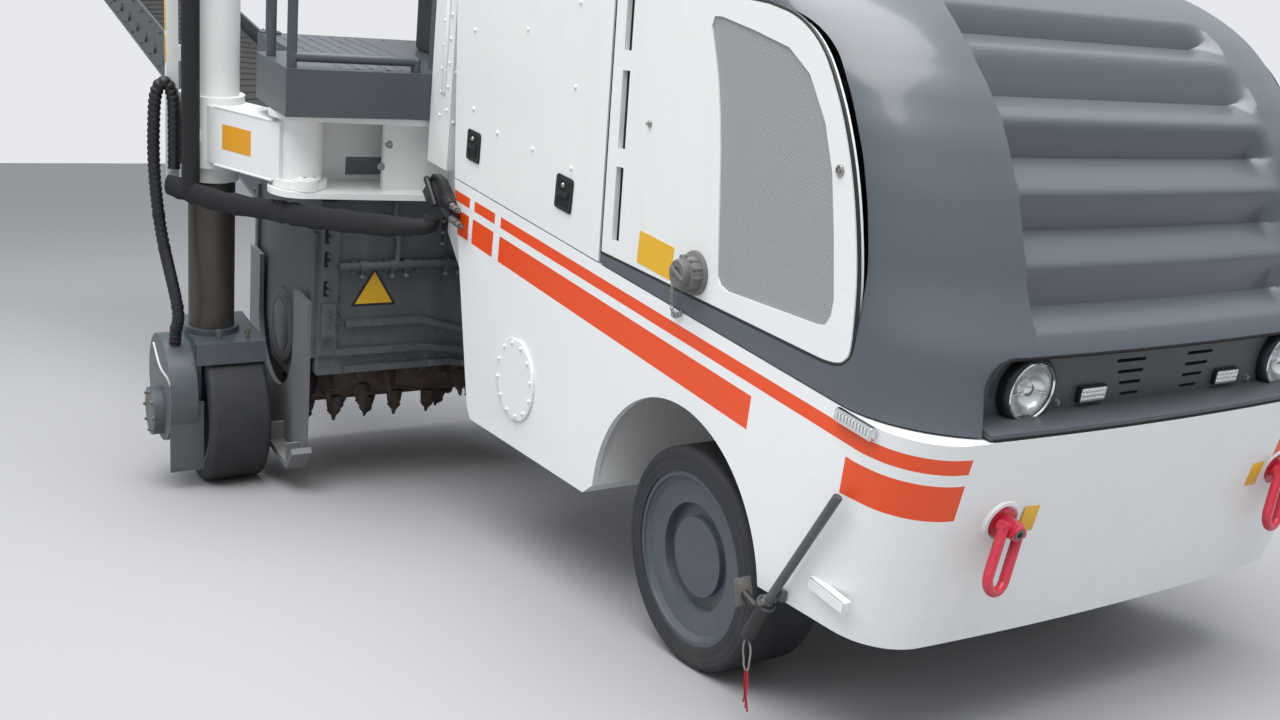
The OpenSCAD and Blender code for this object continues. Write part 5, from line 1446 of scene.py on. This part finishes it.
def leg_fittings(side, s):
    """Guard pins with their rings, and the wheel motor's bolts."""
    wheel_y = REAR_WHEEL_Y[side]
    hub = Vector((-WHEEL_BASE, wheel_y + s * 318, REAR_WHEEL_Z))
    bm = bmesh.new()
    for k in (60, -60):
        p = Vector((-WHEEL_BASE + 150, wheel_y + k, REAR_WHEEL_Z + 365))
        rod(bm, p, p + Vector((0, 0, 34)), 7, 14, 2)
        ring = circle(p + Vector((0, 0, 28)), Vector((0, 13, 0)), Vector((0, 0, 13)), 16)
        tube(bm, ring, 2.6, 6, closed=True)
    for k in range(8):
        bolt(bm, around(hub, 88, 45 * k), (0, s, 0), 16)
    lathe(bm, [(70, 0), (68, 2), (0, 2)], hub - Vector((0, s * 0.8, 0)), (0, s, 0), 40)
    piece(f"leg_fittings_{side}", bm, f"leg_{side}", WORN)


def motor_cable():
    route = [
        (-2640, -1800, 140), (-2560, -1790, 60), (-2530, -1765, 10), (-2545, -1745, -60),
        (-2600, -1740, -140),
    ]
    bm = bmesh.new()
    tube(bm, smooth(route, 10), 4.5, 10)
    piece("motor_cable", bm, "leg_right", LABEL)


# Operator's platform
FLOOR_Z = 1380
SEAT_Y0, SEAT_Y1 = -742, -258
SLEEVE_LEFT_Y = 840
RAIL_FEET = [(-3130, 690), (-3130, -1200), (-2200, 690), (-3130, -300)]
STEPS_Z = (500, 760, 1020, 1270)
EXHAUST_X, EXHAUST_Y = -1500, 560


def seat():
    """Cushion, back, two arm rests, cushion ribs and the base."""
    bm = bmesh.new()
    prism(bm, rounded(-2960, -2480, 1690, 1775, 34), "y", SEAT_Y0, SEAT_Y1, 0, 12)
    prism(bm, rounded(-3062, -2955, 1700, 2215, 40), "y", SEAT_Y0, SEAT_Y1, 0, 12)
    for y in (-770, -230):
        prism(bm, rounded(-2950, -2640, 1880, 1930, 22), "y", y - 28, y + 28, 0, 8)
        block(bm, -2960, -2930, y - 15, y + 15, 1740, 1890, 4, 1)
    for x in (-2860, -2760, -2660, -2560):
        tube(bm, [(x, -700, 1776), (x, -500, 1778), (x, -300, 1776)], 5, 8)
    prism(bm, rounded(-2860, -2590, FLOOR_Z, 1660, 20), "y", -625, -375, 1, 6)
    obj = piece("seat_padding", bm, "chassis", SEAT, BLACK)
    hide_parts("operator_seat")


def console_face():
    """Buttons, a bare panel and its bolts."""
    bm = bmesh.new()
    for i in range(5):
        for j in range(3):
            place = (-2262, -700 + i * 95, 1800 + j * 55)
            lathe(bm, [(13, 0), (13, 6), (9, 9), (0, 9)], place, BACK, 18, 1 + (i + j) % 3)
    prism(bm, rounded(-700, -300, 1560, 1740, 14), "x", -2266, -2260, 0, 3)
    for y in (-790, -210):
        for z in (1420, 1950):
            bolt(bm, (-2260, y, z), BACK, 14, 2)
    piece("console_face", bm, "chassis", BLACK, RED, STEEL, LABEL)


def studded(x, y):
    """True where the floor is clear of the left sleeve, the seat and the console."""
    near_sleeve = (x + WHEEL_BASE) ** 2 + (y - SLEEVE_LEFT_Y) ** 2 < 150 ** 2
    near_seat = -3080 < x < -2470 and -780 < y < -220
    near_console = x > -2280 and -820 < y < -180
    return not (near_sleeve or near_seat or near_console)


def platform_fittings():
    """Feet of the handrails, tread studs of the floor and ridges of the ladder's steps."""
    bm = bmesh.new()
    for x, y in RAIL_FEET:
        lathe(bm, [(48, 0), (48, 8), (30, 12), (24, 12)], (x, y, FLOOR_Z), UP, 36)
        for t in (math.radians(a) for a in (45, 135, 225, 315)):
            bolt(bm, (x + 37 * math.cos(t), y + 37 * math.sin(t), FLOOR_Z + 8), UP, 10, 1)
    for i in range(19):
        for j in range(30):
            x, y = -3090 + i * 50 + (25 if j % 2 else 0), -1190 + j * 62
            if studded(x, y):
                lathe(bm, [(9, 0), (8, 2), (0, 2.6)], (x, y, FLOOR_Z), UP, 8)
    for z in STEPS_Z:
        for i in range(14):
            block(bm, -3325, -3205, 70 + i * 28, 76 + i * 28, z + 28, z + 32, 1)
    piece("platform_fittings", bm, "chassis", GREY, WORN)


def exhaust_collar():
    bm = bmesh.new()
    lathe(bm, [(45, 0), (52, 4), (52, 30), (45, 34)], (EXHAUST_X, EXHAUST_Y, 2034), UP, 36)
    mouth = [(46, 328), (48, 330), (42, 332), (40, 328), (40, 250), (0, 250)]
    lathe(bm, mouth, (EXHAUST_X, EXHAUST_Y, 2035), UP, 36)
    piece("exhaust_collar", bm, "chassis", WORN)


# Drum picks, two helixes from the middle outwards
PICK_COUNT = 36
PICK_STEP = math.radians(47)
PICK_TILT = math.radians(38)
PICK_REACH = 124
FIRST_PICK, PICK_SPAN = 30, 430
TIP_CIRCLE_R = 460


def drum_picks():
    """Collars, bushes and carbide tips of the picks, with a brace on each side of every holder."""
    across = PICK_REACH * math.sin(PICK_TILT)
    core = math.sqrt(TIP_CIRCLE_R ** 2 - across ** 2) - PICK_REACH * math.cos(PICK_TILT)
    bm = bmesh.new()
    for i in range(PICK_COUNT):
        for s in (-1, 1):
            y = DRUM_Y + s * (FIRST_PICK + PICK_SPAN * i / (PICK_COUNT - 1))
            a = i * PICK_STEP + (math.pi if s > 0 else 0)
            spin = (
                Matrix.Translation((-WHEEL_BASE, y, DRUM_Z))
                @ Matrix.Rotation(a, 4, "Y")
                @ Matrix.Translation((0, 0, core - 6))
                @ Matrix.Rotation(PICK_TILT, 4, "Y")
            )
            base = spin @ Vector((0, 0, 0))
            n = spin @ Vector((0, 0, 1)) - base
            rod(bm, base + n * 70, base + n * 80, 31, 14, 3)
            rod(bm, base + n * 84, base + n * 92, 22, 14, 2)
            rod(bm, base + n * 112, base + n * 123, 8.5, 10, 0, 1, 5.5)
            side = spin.to_3x3() @ Vector((0, 1, 0))
            for k in (-1, 1):
                rod(bm, base + n * 8 + side * 27 * k, base + n * 60 + side * 20 * k, 12, 8, 2)
    piece("drum_pick_tips", bm, "drum", DRUM, WORN)


CONVEYOR_RISE = math.radians(6)
CONVEYOR = Matrix.Translation((-3640, DRUM_Y, 550)) @ Matrix.Rotation(CONVEYOR_RISE, 4, "Y")
EDGE_Y = 334
BELT_RUN = 5200
BELT_TOP_Z, BELT_RISE = 40.6, 40
FLIGHT_COUNT, FLIGHT_STEP, FLIGHT_LIFT = 36, 140, 12


def belt_flights():
    """Chevron flights on the belt, which rises a little in its frame."""
    bm = bmesh.new()
    for k in range(FLIGHT_COUNT):
        x = 40 - k * FLIGHT_STEP
        top = BELT_TOP_Z + (140 - x) / BELT_RUN * BELT_RISE + FLIGHT_LIFT
        points = [CONVEYOR @ Vector(p) for p in ((x, -270, top), (x - 60, 0, top), (x, 270, top))]
        for p, q in zip(points, points[1:]):
            rod(bm, p, q, 7, 8)
    piece("belt_flights", bm, "conveyor", BELT)


def conveyor_edges():
    """Bolts, roller ends and rounded edges along both sides of the frame."""
    bm = bmesh.new()
    for _, s in SIDES:
        n = CONVEYOR.to_3x3() @ Vector((0, s, 0))
        y = s * (EDGE_Y + 1)
        for k in range(17):
            x = -k * 310
            for z in (-110, 110):
                bolt(bm, CONVEYOR @ Vector((x, y, z)), n, 18, 1)
            roller = Vector((x - 150, y, -40))
            rod(bm, CONVEYOR @ roller, CONVEYOR @ (roller + Vector((0, s * 12, 0))), 30, 20, 3)
        for z, ends in ((150, (-4995, 125)), (-150, (-4935, 225))):
            xs = (ends[0], -3500, -2000, -500, ends[1])
            tube(bm, [CONVEYOR @ Vector((x, s * EDGE_Y, z)) for x in xs], 9, 10)
    piece("conveyor_edges", bm, "conveyor", GREY, WORN)


# The photograph's camera, the floor and the light
LENS_PX = 1271.67
PHOTO_WIDTH_PX = 1280
SENSOR_MM = 36
CAMERA_PLACE = (2.953, -2.788, 1.529)
CAMERA_YAW = math.radians(31.241)
CAMERA_PITCH = math.radians(9.851)
CAMERA_ROLL = math.radians(0.846)


def camera():
    cy, sy = math.cos(CAMERA_YAW), math.sin(CAMERA_YAW)
    cp, sp = math.cos(CAMERA_PITCH), math.sin(CAMERA_PITCH)
    cr, sr = math.cos(CAMERA_ROLL), math.sin(CAMERA_ROLL)
    forward = Vector((-cy * cp, sy * cp, -sp))
    right = Vector((sy, cy, 0))
    up = right.cross(forward)
    right, up = cr * right + sr * up, -sr * right + cr * up
    data = bpy.data.cameras.new("camera")
    data.sensor_width = SENSOR_MM
    data.lens = SENSOR_MM * LENS_PX / PHOTO_WIDTH_PX
    data.clip_end = 200
    obj = bpy.data.objects.new("camera", data)
    SCENE.collection.objects.link(obj)
    turn = Matrix((right, up, -forward)).transposed().to_4x4()
    place = Vector((AXLE.x, AXLE.y, 0)) + Vector(CAMERA_PLACE)
    obj.matrix_world = Matrix.Translation(place) @ turn
    SCENE.camera = obj


FLOOR_SIZE = 120
FLOOR_GREY = (0.33, 0.33, 0.34, 1)
LOW_SKY, HIGH_SKY = (0.30, 0.32, 0.34, 1), (0.93, 0.97, 1.0, 1)
SKY_STRENGTH = 0.95
SEEN_SKY = (0.80, 0.81, 0.83, 1)


def ground():
    bpy.ops.mesh.primitive_plane_add(size=FLOOR_SIZE, location=(0, 0, 0))
    floor = bpy.context.object
    floor.name = "floor"
    mat = bpy.data.materials.new("floor")
    mat.use_nodes = True
    shader = mat.node_tree.nodes["Principled BSDF"]
    shader.inputs["Base Color"].default_value = FLOOR_GREY
    shader.inputs["Roughness"].default_value = 0.9
    floor.data.materials.append(mat)


def sky():
    """A soft sky that lights the machine, and a plain pale one that the camera sees."""
    world = bpy.data.worlds.new("world")
    SCENE.world = world
    world.use_nodes = True
    tree = world.node_tree
    tree.nodes.clear()
    g = Graph(tree)
    soft = g.node("ShaderNodeBackground")
    coords = g.node("ShaderNodeTexCoord")
    part = g.node("ShaderNodeSeparateXYZ")
    g.put(part.inputs[0], coords.outputs["Generated"])
    up = g.spread(part.outputs[2], -0.05, 0.75)
    g.put(soft.inputs["Color"], g.mix(up, LOW_SKY, HIGH_SKY))
    soft.inputs["Strength"].default_value = SKY_STRENGTH
    seen = g.node("ShaderNodeBackground")
    seen.inputs["Color"].default_value = SEEN_SKY
    seen.inputs["Strength"].default_value = 1.0
    rays = g.node("ShaderNodeLightPath")
    mix = g.node("ShaderNodeMixShader")
    tree.links.new(rays.outputs["Is Camera Ray"], mix.inputs["Fac"])
    tree.links.new(soft.outputs[0], mix.inputs[1])
    tree.links.new(seen.outputs[0], mix.inputs[2])
    out = g.node("ShaderNodeOutputWorld")
    tree.links.new(mix.outputs[0], out.inputs[0])


def lamp(name, place, target, size, power):
    """A square lamp, placed and aimed from the front axle."""
    data = bpy.data.lights.new(name, "AREA")
    data.size = size
    data.energy = power
    obj = bpy.data.objects.new(name, data)
    SCENE.collection.objects.link(obj)
    obj.location = AXLE + Vector(place)
    aim = AXLE + Vector(target) - obj.location
    obj.rotation_euler = aim.to_track_quat("-Z", "Y").to_euler()


camera()
ground()
sky()
lamp("sky_lamp", (1, -2, 10), (0, 0, 0.5), 12, 2300)
SCENE.view_settings.view_transform = "Standard"
paint_frame()
body_skin()
hood_shell()
hood_frame()
lamp_panel()
panel_foot()
panel_trim()
nose_stickers()
fuel_cap()
for side, s in SIDES:
    headlamp(side, s)
    work_lamp(side, s)
    door_seal(side, s)
    door_panel(side, s)
    door_fittings(side, s)
    flap_fittings(side, s)
    side_fittings(side, s)
    ring_fittings(side, s)
    front_wheel(side, s)
    leg_fittings(side, s)
housing_fittings()
housing_sign()
frame_fittings()
coupler_strip()
arm_sticker()
arm_fittings()
post_fittings()
cross_sleeve()
column_sleeve()
motor_hose()
motor_cable()
coupler()
sighting_rod()
rod_hook()
seat()
console_face()
platform_fittings()
exhaust_collar()
drum_picks()
belt_flights()
conveyor_edges()
